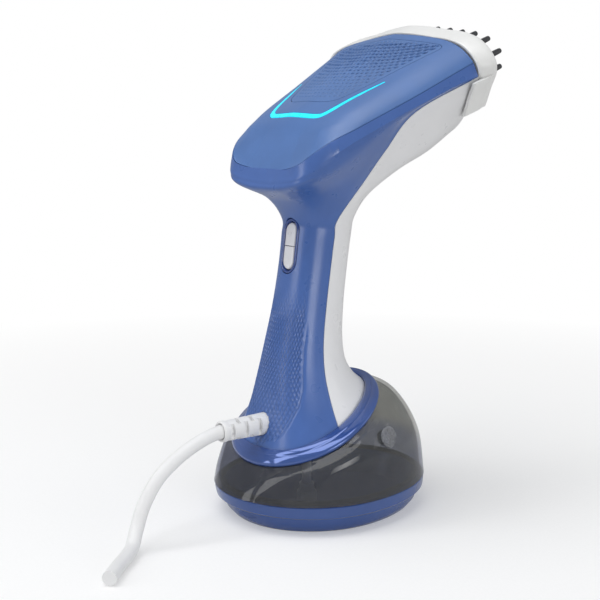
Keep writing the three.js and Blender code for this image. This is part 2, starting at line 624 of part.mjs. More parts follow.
// side is -1 for the upper key and +1 for the lower one.
const button = (side) => {
  const key = slab(GRIP, capsule(8.6, 24.1), -7.5, 0.1);
  const flange = slab(GRIP, capsule(11, 26.5), -7.5, -6);
  const half = block(GRIP, 0, side * (10 + KEY_SPLIT / 2), -4, 20, 20, 20);
  return join(key, flange).intersect(half);
};
const tactSwitch = (side) => {
  const body = block(GRIP, 0, side * 6.5, -11.2, 6, 6, 3.4);
  return join(body, post(GRIP, 0, side * 6.5, 1.7, -10, -8.9, 12));
};
const controlBoard = () => {
  const board = block(GRIP, 0, 0, BOARD_FACE - 0.75, 19, 44, 1.5);
  const chip = block(GRIP, 4, -1, BOARD_FACE - 2.2, 6, 9, 1.6);
  const holes = sides.map((side) => post(GRIP, 0, side * POST_DOWN, 1.3, -18, -12, 12));
  return cut(join(board, chip), ...holes);
};
const boardScrew = (side) => {
  const head = post(GRIP, 0, side * POST_DOWN, 2, BOARD_FACE - 3.1, BOARD_FACE - 1.8, 12);
  return join(head, post(GRIP, 0, side * POST_DOWN, 1, BOARD_FACE - 2, -8, 10));
};

// ---------------------------------------------------------------- rear shell's openings and posts
const FOOT_SCREW = [26, 6];
const rearShell = (shells) => {
  const boardPosts = sides.map((side) => post(GRIP, 0, side * POST_DOWN, 2.5, BOARD_FACE + 0.3, -1, 14));
  const screwHoles = sides.map((side) => post(GRIP, 0, side * POST_DOWN, 1.3, -14, -7, 10));
  const footPosts = sides.map((side) =>
    post(FOOT, side * FOOT_SCREW[0], FOOT_SCREW[1], 3.4, 1.6, 9, 14).intersect(shells.rearHalf),
  );
  const footHoles = sides.map((side) => post(FOOT, side * FOOT_SCREW[0], FOOT_SCREW[1], 1.4, 1, 7, 10));
  const body = join(shells.rear, ...boardPosts, ...footPosts);
  const bezelHole = slab(GRIP, capsule(BEZEL[0] + 2 * GAP, BEZEL[1] + 2 * GAP), -7, 6);
  const cordHole = post(CORD, 0, 0, 6.1, -7, 8, 20);
  return mainBody(cut(body, bezelHole, cordHole, ...screwHoles, ...footHoles));
};

// ---------------------------------------------------------------- cord
const CORD_RADIUS = 3.5;
const CORD_PATH = [
  [-25.5, 0, 73], [-26, 0, 64], [-28.7, 0, 54.8], [-35, 0, 50.6], [-44, 0, 50.5], [-56, 0, 50.5],
  [-70, 0, 50.3], [-82, 0, 47.2], [-95, 0, 41], [-106, 0, 32.5], [-114, -0.5, 21.5],
  [-119.5, -2.6, 11], [-125, -8, 4.8], [-132, -15, 3.9], [-139, -21.5, 3.8], [-150, -32.5, 3.8],
];
const powerCord = () => swept(new THREE.Matrix4(), disc(CORD_RADIUS), CORD_PATH, 40);
const strainRelief = () => {
  const [bore, inner] = [CORD_RADIUS + GAP, -5.2];
  const sleeve = turned(CORD, [
    [bore, -8], [7, -8], [7, inner], [5.7, inner], [5.7, 1], [5, 25.5], [bore, 25.5], [bore, -8],
  ], 16);
  const slots = [];
  for (let ring = 0; ring < 5; ring++) {
    const turn = new THREE.Matrix4().makeRotationZ((ring % 2) * (Math.PI / 2));
    const matrix = CORD.clone().multiply(turn);
    for (const side of sides) slots.push(block(matrix, side * 5.6, 0, 4.5 + 4.4 * ring, 5, 7.4, 1.7));
  }
  return cut(sleeve, ...slots, slab(FOOT, disc(60), -40, 1.7));
};
const cordClamp = () => {
  const body = block(facing(-25.9, 68, 88), 0, 0, 0, 18, 10.6, 5);
  return cut(body, swept(new THREE.Matrix4(), disc(CORD_RADIUS + GAP), CORD_PATH, 50));
};

// ---------------------------------------------------------------- handle foot, pump and hoses
const FLOW_X = -14; // the pump, its inlet and the tank valve share this upright line
const flowPost = (radius, from, to, count = 16) => post(UPRIGHT, 0, -FLOW_X, radius, from, to, count);
const footPlate = (core) => {
  const plate = core.intersect(slab(FOOT, disc(60), -1, 1.2, 20));
  const holes = sides.map((side) => post(FOOT, side * FOOT_SCREW[0], FOOT_SCREW[1], 1.7, -3, 3, 10));
  return mainBody(cut(plate, flowPost(4.2, 40, 65), ...holes));
};
const footScrew = (side) => {
  const head = post(FOOT, side * FOOT_SCREW[0], FOOT_SCREW[1], 2.8, -2.6, -1.3, 14);
  return join(head, post(FOOT, side * FOOT_SCREW[0], FOOT_SCREW[1], 1.1, -1.5, 6, 10));
};
const inletPipe = () => {
  const pipe = join(flowPost(3.4, 41, 64.5), flowPost(6.5, 58.4, 60, 16));
  return cut(pipe, flowPost(2, 40, 66, 10));
};
const inletHose = () => cut(flowPost(5, 60.4, 72.6), flowPost(3.8, 60, 73));
const pumpBody = () => {
  const barrel = join(flowPost(7, 73, 100, 18), flowPost(3.4, 66, 74), flowPost(2.3, 99, 106, 12));
  return cut(barrel, flowPost(1.4, 65, 107, 8));
};
const pumpCoil = () =>
  cut(block(UPRIGHT, 0, -FLOW_X, 87, 20, 19, 20), flowPost(7.4, 70, 110, 18));
const nosePoint = (x, y, z) => new THREE.Vector3(x, y, z).applyMatrix4(NOSE).toArray();
const outletHose = () => {
  const path = [
    [FLOW_X, 0, 100.5], [FLOW_X, 0, 106.5], [-11.5, 0, 112.5], [-4, 0, 120], [0.5, 0, 132],
    [2, 0, 148], [1.5, 0, 166], [3, 0, 184],
    nosePoint(0, -BARB_DOWN, -48), nosePoint(0, -BARB_DOWN, -39.5), nosePoint(0, -BARB_DOWN, -32),
  ];
  return swept(new THREE.Matrix4(), disc(4, 2.9), path, 20, 4);
};

// ---------------------------------------------------------------- collar
const LOOP_COUNT = 2 * (SECTION_KEYS.length - 1) * ROUND_STEPS;
// An egg-shaped loop in the plane through its rear and front points, widest part-way along.
const eggLoop = ({ rear, front, half, widest = 0.45 }, inset = 0, lift = 0) => {
  const length = Math.hypot(front[0] - rear[0], front[1] - rear[1]);
  const [dx, dz] = [(front[0] - rear[0]) / length, (front[1] - rear[1]) / length];
  return Array.from({ length: LOOP_COUNT }, (_, j) => {
    const turn = (2 * Math.PI * j) / LOOP_COUNT;
    const c = Math.cos(turn);
    const depth = c > 0 ? widest * (1 - c) : widest - (1 - widest) * c;
    const along = inset + depth * (length - 2 * inset);
    return [rear[0] + along * dx, (half - inset) * Math.sin(turn), rear[1] + along * dz + lift];
  });
};
const COLLAR = { rear: [-52, 33], front: [22.5, 70.5], half: 43 };
const COLLAR_SIDE = 2; // height of the collar's outer side
const collar = () => {
  // The handle's foot, grown by the gap and lifted.
  const around = (lift) => {
    const { rear, front, half } = HANDLE[0];
    const grown = {
      rear: [rear[0] - GAP, rear[1] + lift],
      front: [front[0] + GAP, front[1] + lift],
      half: half + GAP,
    };
    return smoothLoop(handleHalf(grown), ROUND_STEPS);
  };
  const inner = around(0.9);
  const outer = eggLoop(COLLAR);
  const partWay = (t, lift) =>
    inner.map(([x, y, z], j) => {
      const [dx, dy, dz] = [outer[j][0] - x, outer[j][1] - y, outer[j][2] - z];
      return [x + t * dx, y + t * dy, z + t * dz + lift];
    });
  const low = eggLoop(COLLAR, 0.4, -COLLAR_SIDE);
  const slope = (COLLAR.front[1] - COLLAR.rear[1]) / (COLLAR.front[0] - COLLAR.rear[0]);
  const lowAt = (x) => COLLAR.rear[1] - COLLAR_SIDE + (x - COLLAR.rear[0]) * slope;
  const innerLow = around(0).map(([x, y]) => [x, y, lowAt(x)]);
  const bead = [partWay(0.5, 0.9), partWay(0.56, 0.6), partWay(0.93, 0.3)];
  return ringThrough([inner, ...bead, outer, low, innerLow]);
};

// ---------------------------------------------------------------- water tank
const FOOT_EGG = { rear: -63.9, front: 56.4, half: 51.7 }; // outline of the tank's lower edge
const FOOT_WIDEST = 0.451;
// A level egg-shaped loop.
const level = ({ rear, front, half }, z, inset = 0) =>
  eggLoop({ rear: [rear, z], front: [front, z], half, widest: FOOT_WIDEST }, inset);
const TANK = [
  { rear: [FOOT_EGG.rear, 16], front: [FOOT_EGG.front, 16], half: FOOT_EGG.half, widest: FOOT_WIDEST },
  { rear: [-61.5, 21.5], front: [51, 42], half: 51.5 },
  { rear: [-56.5, 27.5], front: [36, 63], half: 49.5 },
  { rear: [-51.6, 30.7], front: [22.1, 68.2], half: 42.6 },
];
const TANK_WALL = 2;
const tankLoops = (inset, topLift, bottomLift) => {
  const lifts = [bottomLift, 0, 0, topLift];
  const loops = TANK.map((loop, i) => eggLoop(loop, inset, lifts[i]));
  const columns = loops[0].map((_, j) => smoothLine(loops.map((loop) => loop[j]), 2));
  return columns[0].map((_, i) => columns.map((column) => column[i]));
};
const PLUG = { place: [1, -48.1, 46.8], out: [0.16, -0.95, 0.27], radius: 4 };
// A frame on the tank's right-hand side, facing out through the filler hole.
const plugFrame = () => {
  const out = new THREE.Vector3(...PLUG.out).normalize();
  const across = new THREE.Vector3(0, 0, 1).cross(out).normalize();
  const up = out.clone().cross(across);
  return frameAt(PLUG.place, across, up, out);
};
const waterTank = () => {
  const hollow = loft(tankLoops(TANK_WALL, -2.2, -1));
  const valveHole = flowPost(9.3, 30, 70, 20);
  const plugHole = post(plugFrame(), 0, 0, PLUG.radius + GAP, -8, 8, 20);
  return mainBody(cut(loft(tankLoops(0, 0, 0)), hollow, valveHole, plugHole));
};
const fillerPlug = () => {
  const frame = plugFrame();
  const stem = post(frame, 0, 0, PLUG.radius, -3.5, 0.7, 14);
  return join(stem, post(frame, 0, 0, PLUG.radius + 1.5, 0.6, 1.8, 18));
};
// Level loops of the base, from the ground up: rear, front, half-width, height.
const BASE_LOOPS = [
  [-54.1, 49.5, 43.2, 0], [-57.3, 51.6, 46.6, 4], [-59, 52.5, 48, 8.4], [-62, 55, 50.8, 10.4],
  [-63.4, 56.1, 51.5, 15.7],
];
const TRAY_LOOPS = [[-52, 47, 41, 3], [-56, 49.5, 45, 9], [-58.5, 51, 47, 16.5]];
const tankBase = () => {
  const through = (loops) => loft(loops.map(([rear, front, half, z]) => level({ rear, front, half }, z)));
  return cut(through(BASE_LOOPS), through(TRAY_LOOPS));
};
const tankSeal = () => {
  const corners = [[3.4, 16], [3.4, 18], [5, 18], [5, 16]];
  return ringThrough(corners.map(([inset, z]) => level(FOOT_EGG, z, inset)));
};
const tankValve = () => {
  const channel = [flowPost(2.9, 33, 39), flowPost(3.9, 38.5, 62), flowPost(6, 42.5, 45, 20)];
  return cut(flowPost(9, 34, 60, 24), ...channel).intersect(slab(FOOT, disc(30), -60, -2.4, 12));
};
const valveSeal = () => {
  const geometry = new THREE.TorusGeometry(4.85, 0.85, 8, 20);
  return placed(geometry, UPRIGHT.clone().multiply(at(0, -FLOW_X, 43.75)));
};
const suctionTube = () => cut(flowPost(2.6, 9, 38, 12), flowPost(1.6, 8, 39, 12));
const suctionFilter = () => {
  const cage = join(flowPost(5.5, 3.5, 8.5, 18), flowPost(4.2, 8, 13, 16));
  return cut(cage, flowPost(2.9, 8.7, 14, 12));
};

// ---------------------------------------------------------------- assembly
const shells = housing();
const top = topPieces(shells.cover);
const group = new THREE.Group();
const show = (name, solid, color, roughness, metalness = 0, extra = {}) => {
  const material = new THREE.MeshStandardMaterial({ color, roughness, metalness, ...extra });
  const mesh = new THREE.Mesh(toGeometry(solid), material);
  mesh.name = name;
  group.add(mesh);
};
const smoke = { transparent: true, opacity: 0.55 };
show('tank_base', tankBase(), '#47609a', 0.35);
show('water_tank', waterTank(), '#5a5c66', 0.08, 0, smoke);
show('tank_seal', tankSeal(), '#2c2c2e', 0.7);
show('filler_plug', fillerPlug(), '#6c6e76', 0.5);
show('tank_valve', tankValve(), '#d8d8d8', 0.4);
show('valve_seal', valveSeal(), '#2c2c2e', 0.7);
show('suction_tube', suctionTube(), '#d9dde0', 0.3);
show('suction_filter', suctionFilter(), '#c9cccd', 0.5);
show('rear_shell', rearShell(shells), '#48629a', 0.35);
show('front_shell', shells.front, '#dedede', 0.4);
show('top_cover', top.cover, '#7693c2', 0.4);
show('texture_panel', top.panel, '#7890bc', 0.45);
show('light_guide', top.guide, '#18e0f0', 0.3, 0, { emissive: '#12c8dc' });
show('light_board', top.board, '#2f6b4a', 0.6);
show('handle_collar', collar(), '#4a66ab', 0.1);
show('foot_plate', footPlate(shells.core), '#dedede', 0.5);
show('foot_screw_left', footScrew(1), '#b9bcc0', 0.3, 1);
show('foot_screw_right', footScrew(-1), '#b9bcc0', 0.3, 1);
show('button_bezel', buttonBezel(), '#3a4f86', 0.3);
show('upper_button', button(-1), '#dededf', 0.4);
show('lower_button', button(1), '#dededf', 0.4);
show('upper_switch', tactSwitch(-1), '#28282a', 0.5);
show('lower_switch', tactSwitch(1), '#28282a', 0.5);
show('control_board', controlBoard(), '#2f6b4a', 0.6);
show('board_screw_upper', boardScrew(-1), '#b9bcc0', 0.3, 1);
show('board_screw_lower', boardScrew(1), '#b9bcc0', 0.3, 1);
show('water_inlet_pipe', inletPipe(), '#e3e3e1', 0.4);
show('inlet_hose', inletHose(), '#e6e8ea', 0.4);
show('pump_body', pumpBody(), '#e3e3e1', 0.4);
show('pump_coil', pumpCoil(), '#a8662e', 0.5, 0.4);
show('outlet_hose', outletHose(), '#e6e8ea', 0.4);
show('nozzle_frame', nozzleFrame(shells.core), '#e9e9e7', 0.4);
show('steam_plate', steamPlate(), '#c4c6c9', 0.25, 1);
show('plate_gasket', plateGasket(), '#b5432f', 0.7);
show('heating_chamber', heatingChamber(shells.core), '#a9abae', 0.5, 0.9);
show('heating_element', heatingElement(), '#8d8f92', 0.35, 1);
show('chamber_lid', chamberLid(), '#a9abae', 0.5, 0.9);
show('chamber_screw_left', chamberScrew(1), '#b9bcc0', 0.3, 1);
show('chamber_screw_right', chamberScrew(-1), '#b9bcc0', 0.3, 1);
show('thermostat', thermostat(), '#d9d9d6', 0.4, 0.5);
show('thermal_fuse', thermalFuse(), '#d7c9a0', 0.4, 0.5);
show('brush_frame', brushFrame(), '#e9e9e7', 0.35);
show('brush_bristles', brushBristles(), '#3d3f42', 0.5);
show('cord_strain_relief', strainRelief(), '#e6e6e4', 0.45);
show('cord_clamp', cordClamp(), '#dedede', 0.5);
show('power_cord', powerCord(), '#ebebeb', 0.5);

export default group;
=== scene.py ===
"""Looks of a handheld garment steamer standing on its water tank.

Shapes are worked out in millimetres in the frame of the CAD part, then stored in metres.
+X is the way the steam leaves, +Y is the steamer's left, +Z is up.
"""
import math
from contextlib import contextmanager

import bmesh
import bpy
import numpy as np
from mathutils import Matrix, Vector
from mathutils.bvhtree import BVHTree
from mathutils.interpolate import poly_3d_calc


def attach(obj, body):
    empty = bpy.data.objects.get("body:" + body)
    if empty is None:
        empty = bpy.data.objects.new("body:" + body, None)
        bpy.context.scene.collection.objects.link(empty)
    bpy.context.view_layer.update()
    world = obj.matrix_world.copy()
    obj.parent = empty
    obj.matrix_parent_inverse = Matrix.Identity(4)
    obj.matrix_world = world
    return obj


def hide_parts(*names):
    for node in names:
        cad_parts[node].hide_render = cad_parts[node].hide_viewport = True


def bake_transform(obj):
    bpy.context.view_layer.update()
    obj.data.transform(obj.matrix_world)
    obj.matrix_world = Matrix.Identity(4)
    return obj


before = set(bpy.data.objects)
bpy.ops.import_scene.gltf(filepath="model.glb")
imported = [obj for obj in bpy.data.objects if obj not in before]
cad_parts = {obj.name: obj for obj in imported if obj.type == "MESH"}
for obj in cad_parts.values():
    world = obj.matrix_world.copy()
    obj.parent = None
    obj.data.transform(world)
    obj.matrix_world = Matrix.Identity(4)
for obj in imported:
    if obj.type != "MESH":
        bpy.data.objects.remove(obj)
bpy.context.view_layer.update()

MM = 0.001
GAP = 0.3  # between neighbouring pieces
WALL = 2.0  # moulded housing wall
SMOOTH_ANGLE = 32.0  # edges sharper than this stay sharp

# ---- housing dimensions
# The housing's skin is a stack of closed sections: those of the handle, then neck, lip, side and rim.
# Handle sections, from the foot up: rear x, rear z, front x, front z, half-width.
HANDLE = [
    (-47.2, 39.0, 19.2, 68.0, 33.0),
    (-42.4, 55.5, 13.0, 73.2, 26.8),
    (-38.8, 74.4, 8.4, 81.0, 21.6),
    (-35.4, 91.0, 6.9, 93.5, 18.6),
    (-31.0, 110.0, 7.9, 111.0, 16.9),
    (-27.2, 130.0, 10.3, 130.5, 16.3),
    (-24.9, 147.0, 12.9, 147.5, 16.5),
    (-24.4, 156.0, 15.0, 156.5, 17.6),
]
# Half of a handle section: share of the way from rear to front, share of the half-width.
SECTION_KEYS = [
    (0, 0), (0.013, 0.34), (0.058, 0.64), (0.14, 0.84), (0.24, 0.95), (0.34, 0.995),
    (0.43, 1), (0.6, 0.91), (0.8, 0.68), (0.95, 0.35), (1, 0),
]
# Half sections of the head: x, y, z.
NECK = [
    (-30.8, 0, 165.8), (-30, 12, 166.3), (-26.8, 20.3, 168.3), (-20.5, 25.2, 170.8),
    (-13, 27.2, 173.3), (-4, 27, 175), (3.4, 25, 175.3), (9, 21.2, 172), (15.5, 15.3, 169.3),
    (20.5, 8, 167.5), (22, 0, 167),
]
LIP = [
    (-41.5, 0, 171.6), (-41.6, 16, 172.2), (-39, 29.5, 174.8), (-29.5, 37, 180), (-15, 40, 187),
    (-1, 39, 191.5), (8.8, 35.5, 191.5), (14.5, 36, 193.5), (27, 27, 184), (35, 13.5, 179.5),
    (37, 0, 178.3),
]
SIDE = [
    (-41.8, 0, 175.2), (-42.2, 17, 176.2), (-40.7, 31, 178.8), (-31, 39.8, 185),
    (-15, 44.8, 193.5), (5, 47.8, 205), (17.5, 47.8, 210.6), (29.5, 48, 209.3), (42, 36, 196),
    (50, 19, 188.6), (52, 0, 186.8),
]
# The nose is the face that the steam leaves from: it leans back, and its sides fall away behind its
# middle. The crown is its top point.
NOSE_TILT = math.radians(21)
NOSE_BOW = 5.0
NOSE_HALF = 60.0
CROWN = (44.8, 251.8)
RIM_SIDE = [
    (-40.8, 0, 178.2), (-41.3, 17, 179.2), (-40.3, 31.3, 181.8), (-31, 40.8, 189),
    (-14.5, 46.8, 199), (15, 53.5, 214),
]
RIM_FRONT = [(23.5, 59.8), (35, 50.5), (49.5, 35), (58, 18), (61, 0)]  # down from the crown, across
# The cover's edge on one side, and its middle line; both run from the rear to the nose.
EDGE = [
    (-39.3, 0, 181.9), (-40.1, 16, 182.8), (-39.3, 29.3, 185.7), (-30, 39.2, 195.7),
    (-13, 45.4, 205), (15, 51.9, 218.9),
]
EDGE_FRONT = (16, 58.4)
RIDGE = [
    (-39.3, 181.9), (-39, 182.7), (-37, 186.4), (-30, 198.4), (-21, 211), (10, 230.3),
    (44.8, 251.8),
]
SPLIT_KEY = 6  # the key where the blue rear half meets the white front half
COVER_VIEW = math.radians(45)  # the cover lifts off along this elevation
COVER_REBATE = 2.3  # how deep the cover sits in the shells
FORWARD = np.array([math.cos(NOSE_TILT), 0, math.sin(NOSE_TILT)])


# ---- curves
def bend(a, b, c, d, t):
    """A point on the smooth curve from b to c, with neighbours a and d."""
    return b + 0.5 * t * (c - a + t * (2 * a - 5 * b + 4 * c - d + t * (3 * (b - c) + d - a)))


def along(keys, t):
    """Points of a smooth open line through the keys, which count 0, 1, 2 and so on along t."""
    keys = np.asarray(keys, float)
    t = np.asarray(t, float)
    whole = np.concatenate([2 * keys[:1] - keys[1:2], keys, 2 * keys[-1:] - keys[-2:-1]])
    i = np.clip(np.floor(t + 1e-9).astype(int), 0, len(keys) - 2)
    s = (t - i).reshape((-1,) + (1,) * (keys.ndim - 1))
    return bend(whole[i], whole[i + 1], whole[i + 2], whole[i + 3], s)


def around(keys, t):
    """Points of a smooth closed line through the keys."""
    keys = np.asarray(keys, float)
    n = len(keys)
    i = np.floor(np.asarray(t, float) + 1e-9).astype(int)
    s = (t - i).reshape((-1,) + (1,) * (keys.ndim - 1))
    return bend(keys[(i - 1) % n], keys[i % n], keys[(i + 1) % n], keys[(i + 2) % n], s)


def mirrored(half):
    """A closed section from its half on the left, rear to front."""
    half = np.asarray(half, float)
    back = half[1:-1][::-1] * np.array([1, -1, 1])
    return np.concatenate([half, back])


def on_nose(down, across, out=0.0):
    """Points on the bowed nose: down from the crown, across, and out in front of it."""
    ahead = out - NOSE_BOW * (np.asarray(across) / NOSE_HALF) ** 2
    x = CROWN[0] + down * math.sin(NOSE_TILT) + ahead * FORWARD[0]
    z = CROWN[1] - down * math.cos(NOSE_TILT) + ahead * FORWARD[2]
    return np.stack(np.broadcast_arrays(x, across, z), -1).astype(float)


def smoothstep(low, high, x):
    t = np.clip((x - low) / (high - low), 0, 1)
    return t * t * (3 - 2 * t)


def rounded(section, times):
    """A closed section with its corners cut off, some times over."""
    points = np.asarray(section, float)
    for _ in range(times):
        ahead = np.roll(points, -1, 0)
        pairs = np.stack([0.75 * points + 0.25 * ahead, 0.25 * points + 0.75 * ahead], 1)
        points = pairs.reshape(-1, points.shape[1])
    return points


def beside(line, step):
    """A flat line moved to its left by a step."""
    line = np.asarray(line, float)
    a = line[np.maximum(np.arange(len(line)) - 1, 0)]
    b = line[np.minimum(np.arange(len(line)) + 1, len(line) - 1)]
    d = (b - a) / np.linalg.norm(b - a, axis=1, keepdims=True)
    return line + step * np.stack([-d[:, 1], d[:, 0]], 1)


# ---- frames
def frame_at(origin, across, up, out):
    """A local frame as a matrix: its three axes and its origin."""
    m = np.eye(4)
    m[:3, 0], m[:3, 1], m[:3, 2], m[:3, 3] = across, up, out, origin
    return m


def facing(x, z, degrees):
    """A frame on the middle plane: local x is +Y, local z points at this elevation above +X."""
    c, s = math.cos(math.radians(degrees)), math.sin(math.radians(degrees))
    return frame_at((x, 0, z), (0, 1, 0), (-s, 0, c), (c, 0, s))


def place(m, points):
    points = np.asarray(points, float)
    return points @ m[:3, :3].T + m[:3, 3]


NOSE = facing(CROWN[0], CROWN[1], math.degrees(NOSE_TILT))
SLOPE = facing(CROWN[0], CROWN[1], 125)
GRIP = facing(-25.4, 142.3, 172.65)
FOOT = facing(-14, 53.5, 113.6)
CORD = facing(-43.5, 50.5, 180)


# ---- meshes
def put(name, data):
    """A new object in the scene."""
    made = bpy.data.objects.new(name, data)
    bpy.context.scene.collection.objects.link(made)
    return made


@contextmanager
def edited(mesh):
    """The mesh as a BMesh, which is written back at the end of the block."""
    bm = bmesh.new()
    bm.from_mesh(mesh)
    yield bm
    bm.to_mesh(mesh)
    bm.free()


def mesh_from(points, faces):
    """A mesh from points in millimetres, with equal points joined and faces turned outwards."""
    points = np.asarray(points, float)
    keys, index = np.unique(np.round(points * 500).astype(np.int64), axis=0, return_inverse=True)
    index = index.ravel()
    first = np.zeros(len(keys), int)
    first[index[::-1]] = np.arange(len(points))[::-1]
    mesh = bpy.data.meshes.new("shape")
    kept = []
    for face in faces:
        ids = [int(index[k]) for k in face]
        ids = [v for k, v in enumerate(ids) if v != ids[k - 1]]
        if len(set(ids)) >= 3:
            kept.append(ids)
    mesh.from_pydata((points[first] * MM).tolist(), [], kept)
    with edited(mesh) as bm:
        bmesh.ops.delete(bm, geom=[v for v in bm.verts if not v.link_faces], context="VERTS")
        bmesh.ops.recalc_face_normals(bm, faces=bm.faces)
        if bm.calc_volume(signed=True) < 0:
            bmesh.ops.reverse_faces(bm, faces=bm.faces)
    return mesh


def grid_faces(rows, columns, closed, start=0):
    """Quads of a grid of points that counts along its columns first."""
    last = columns if closed else columns - 1
    i, j = np.meshgrid(np.arange(rows - 1), np.arange(last), indexing="ij")
    k = (j + 1) % columns
    corners = [i * columns + j, i * columns + k, (i + 1) * columns + k, (i + 1) * columns + j]
    return (np.stack(corners, -1).reshape(-1, 4) + start).tolist()


def stacked(m, layers):
    """Loops of points in a local frame, from flat outlines and the height of each."""
    return [place(m, np.column_stack([outline, np.full(len(outline), h)])) for outline, h in layers]


def loft(loops):
    """A solid through closed loops, with a fan over each end."""
    loops = np.asarray(loops, float)
    rows, columns = loops.shape[:2]
    points = np.concatenate([loops.reshape(-1, 3), loops[0].mean(0)[None], loops[-1].mean(0)[None]])
    faces = grid_faces(rows, columns, True)
    low, high, top = rows * columns, rows * columns + 1, (rows - 1) * columns
    for j in range(columns):
        k = (j + 1) % columns
        faces.append([low, k, j])
        faces.append([high, top + j, top + k])
    return mesh_from(points, faces)


def ring(loops):
    """A ring whose section is the closed chain of loops."""
    loops = np.asarray(loops, float)
    loops = np.concatenate([loops, loops[:1]])
    return mesh_from(loops.reshape(-1, 3), grid_faces(len(loops), loops.shape[1], True))


def extruded(m, outline, low, high):
    """A prism over an outline in a local frame."""
    outline = np.asarray(outline, float)
    n = len(outline)
    points = np.concatenate(stacked(m, [(outline, low), (outline, high)]))
    faces = [list(range(n))[::-1], list(range(n, 2 * n))]
    faces += [[j, (j + 1) % n, n + (j + 1) % n, n + j] for j in range(n)]
    return mesh_from(points, faces)


def prism(outline):
    """A block from side to side over an outline in X and Z."""
    return extruded(frame_at((0, 90, 0), (1, 0, 0), (0, 0, 1), (0, -1, 0)), outline, 0, 180)


def circle(radius, sides):
    t = np.arange(sides) * 2 * math.pi / sides
    return np.stack([radius * np.cos(t), radius * np.sin(t)], 1)


def post(m, x, y, radius, low, high, sides=48):
    return extruded(m, circle(radius, sides) + np.array([x, y]), low, high)


def block(m, x, y, z, w, h, d):
    """A box by its centre and its size in a local frame."""
    corners = [(-1, -1), (1, -1), (1, 1), (-1, 1)]
    return extruded(m, [(x + a * w / 2, y + b * h / 2) for a, b in corners], z - d / 2, z + d / 2)


def capsule(width, height):
    """The outline of a key: straight sides between two half circles."""
    r = width / 2
    t = np.linspace(0, math.pi, 24)
    arc = np.stack([r * np.cos(t), r * np.sin(t)], 1)
    return np.concatenate([arc + [0, height / 2 - r], -arc + [0, r - height / 2]])


def sweep(points, radius, steps, sides):
    """A round rod along a smooth line, with flat ends; the line counts from its first key."""
    t = np.linspace(0, len(points) - 1, steps)
    path = along(points, t)
    tangent = np.gradient(path, axis=0)
    tangent /= np.linalg.norm(tangent, axis=1, keepdims=True)
    side = np.cross(tangent, [0, 1, 0.001])
    side /= np.linalg.norm(side, axis=1, keepdims=True)
    up = np.cross(side, tangent)
    turn = np.arange(sides) * 2 * math.pi / sides
    around_path = side[:, None] * np.cos(turn)[None, :, None] + up[:, None] * np.sin(turn)[None, :, None]
    return loft(path[:, None] + radius * around_path)


def combine(mesh, others, operation):
    """The mesh cut by, joined with or trimmed to the others, one after another."""
    host = put("host", mesh)
    tools = [put("tool", other) for other in others]
    for tool in tools:
        modifier = host.modifiers.new("boolean", "BOOLEAN")
        modifier.operation = operation
        modifier.solver = "MANIFOLD"
        modifier.object = tool
    bpy.context.view_layer.update()
    graph = bpy.context.evaluated_depsgraph_get()
    made = bpy.data.meshes.new_from_object(host.evaluated_get(graph), depsgraph=graph)
    for o in [host] + tools:
        bpy.data.objects.remove(o)
    if not made.polygons:
        raise RuntimeError("a boolean left nothing")
    return made


def cut(mesh, *tools):
    return combine(mesh, tools, "DIFFERENCE")


def join(mesh, *others):
    return combine(mesh, others, "UNION")


def trim(mesh, *others):
    return combine(mesh, others, "INTERSECT")


def merged(meshes):
    """Separate meshes as one, without joining them."""
    bm = bmesh.new()
    for mesh in meshes:
        bm.from_mesh(mesh)
    made = bpy.data.meshes.new("shape")
    bm.to_mesh(made)
    bm.free()
    return made


def main_part(mesh):
    """The largest connected part of a mesh."""
    with edited(mesh) as bm:
        seen, parts = set(), []
        for face in bm.faces:
            if face.index in seen:
                continue
            seen.add(face.index)
            part, stack = [], [face]
            while stack:
                part.append(stack.pop())
                for g in (g for e in part[-1].edges for g in e.link_faces):
                    if g.index not in seen:
                        seen.add(g.index)
                        stack.append(g)
            parts.append(part)
        for part in sorted(parts, key=len)[:-1]:
            bmesh.ops.delete(bm, geom=list({v for f in part for v in f.verts}), context="VERTS")
    return mesh


def sharpen(mesh, angle):
    """Marks the edges that turn by more than the angle as sharp, and the rest as smooth."""
    limit = math.radians(angle)
    with edited(mesh) as bm:
        bmesh.ops.dissolve_degenerate(bm, dist=1e-7, edges=bm.edges)
        for face in bm.faces:
            face.smooth = True
            face.material_index = 0
        for edge in bm.edges:
            edge.smooth = len(edge.link_faces) == 2 and edge.calc_face_angle(0.0) < limit


ON_SKIN = 1e-4  # a face this near the source's skin, and turned the same way, lies on it
ON_SKIN_TINY = (1.2e-5, 2e-8)  # so does a face of less than this area, this near it


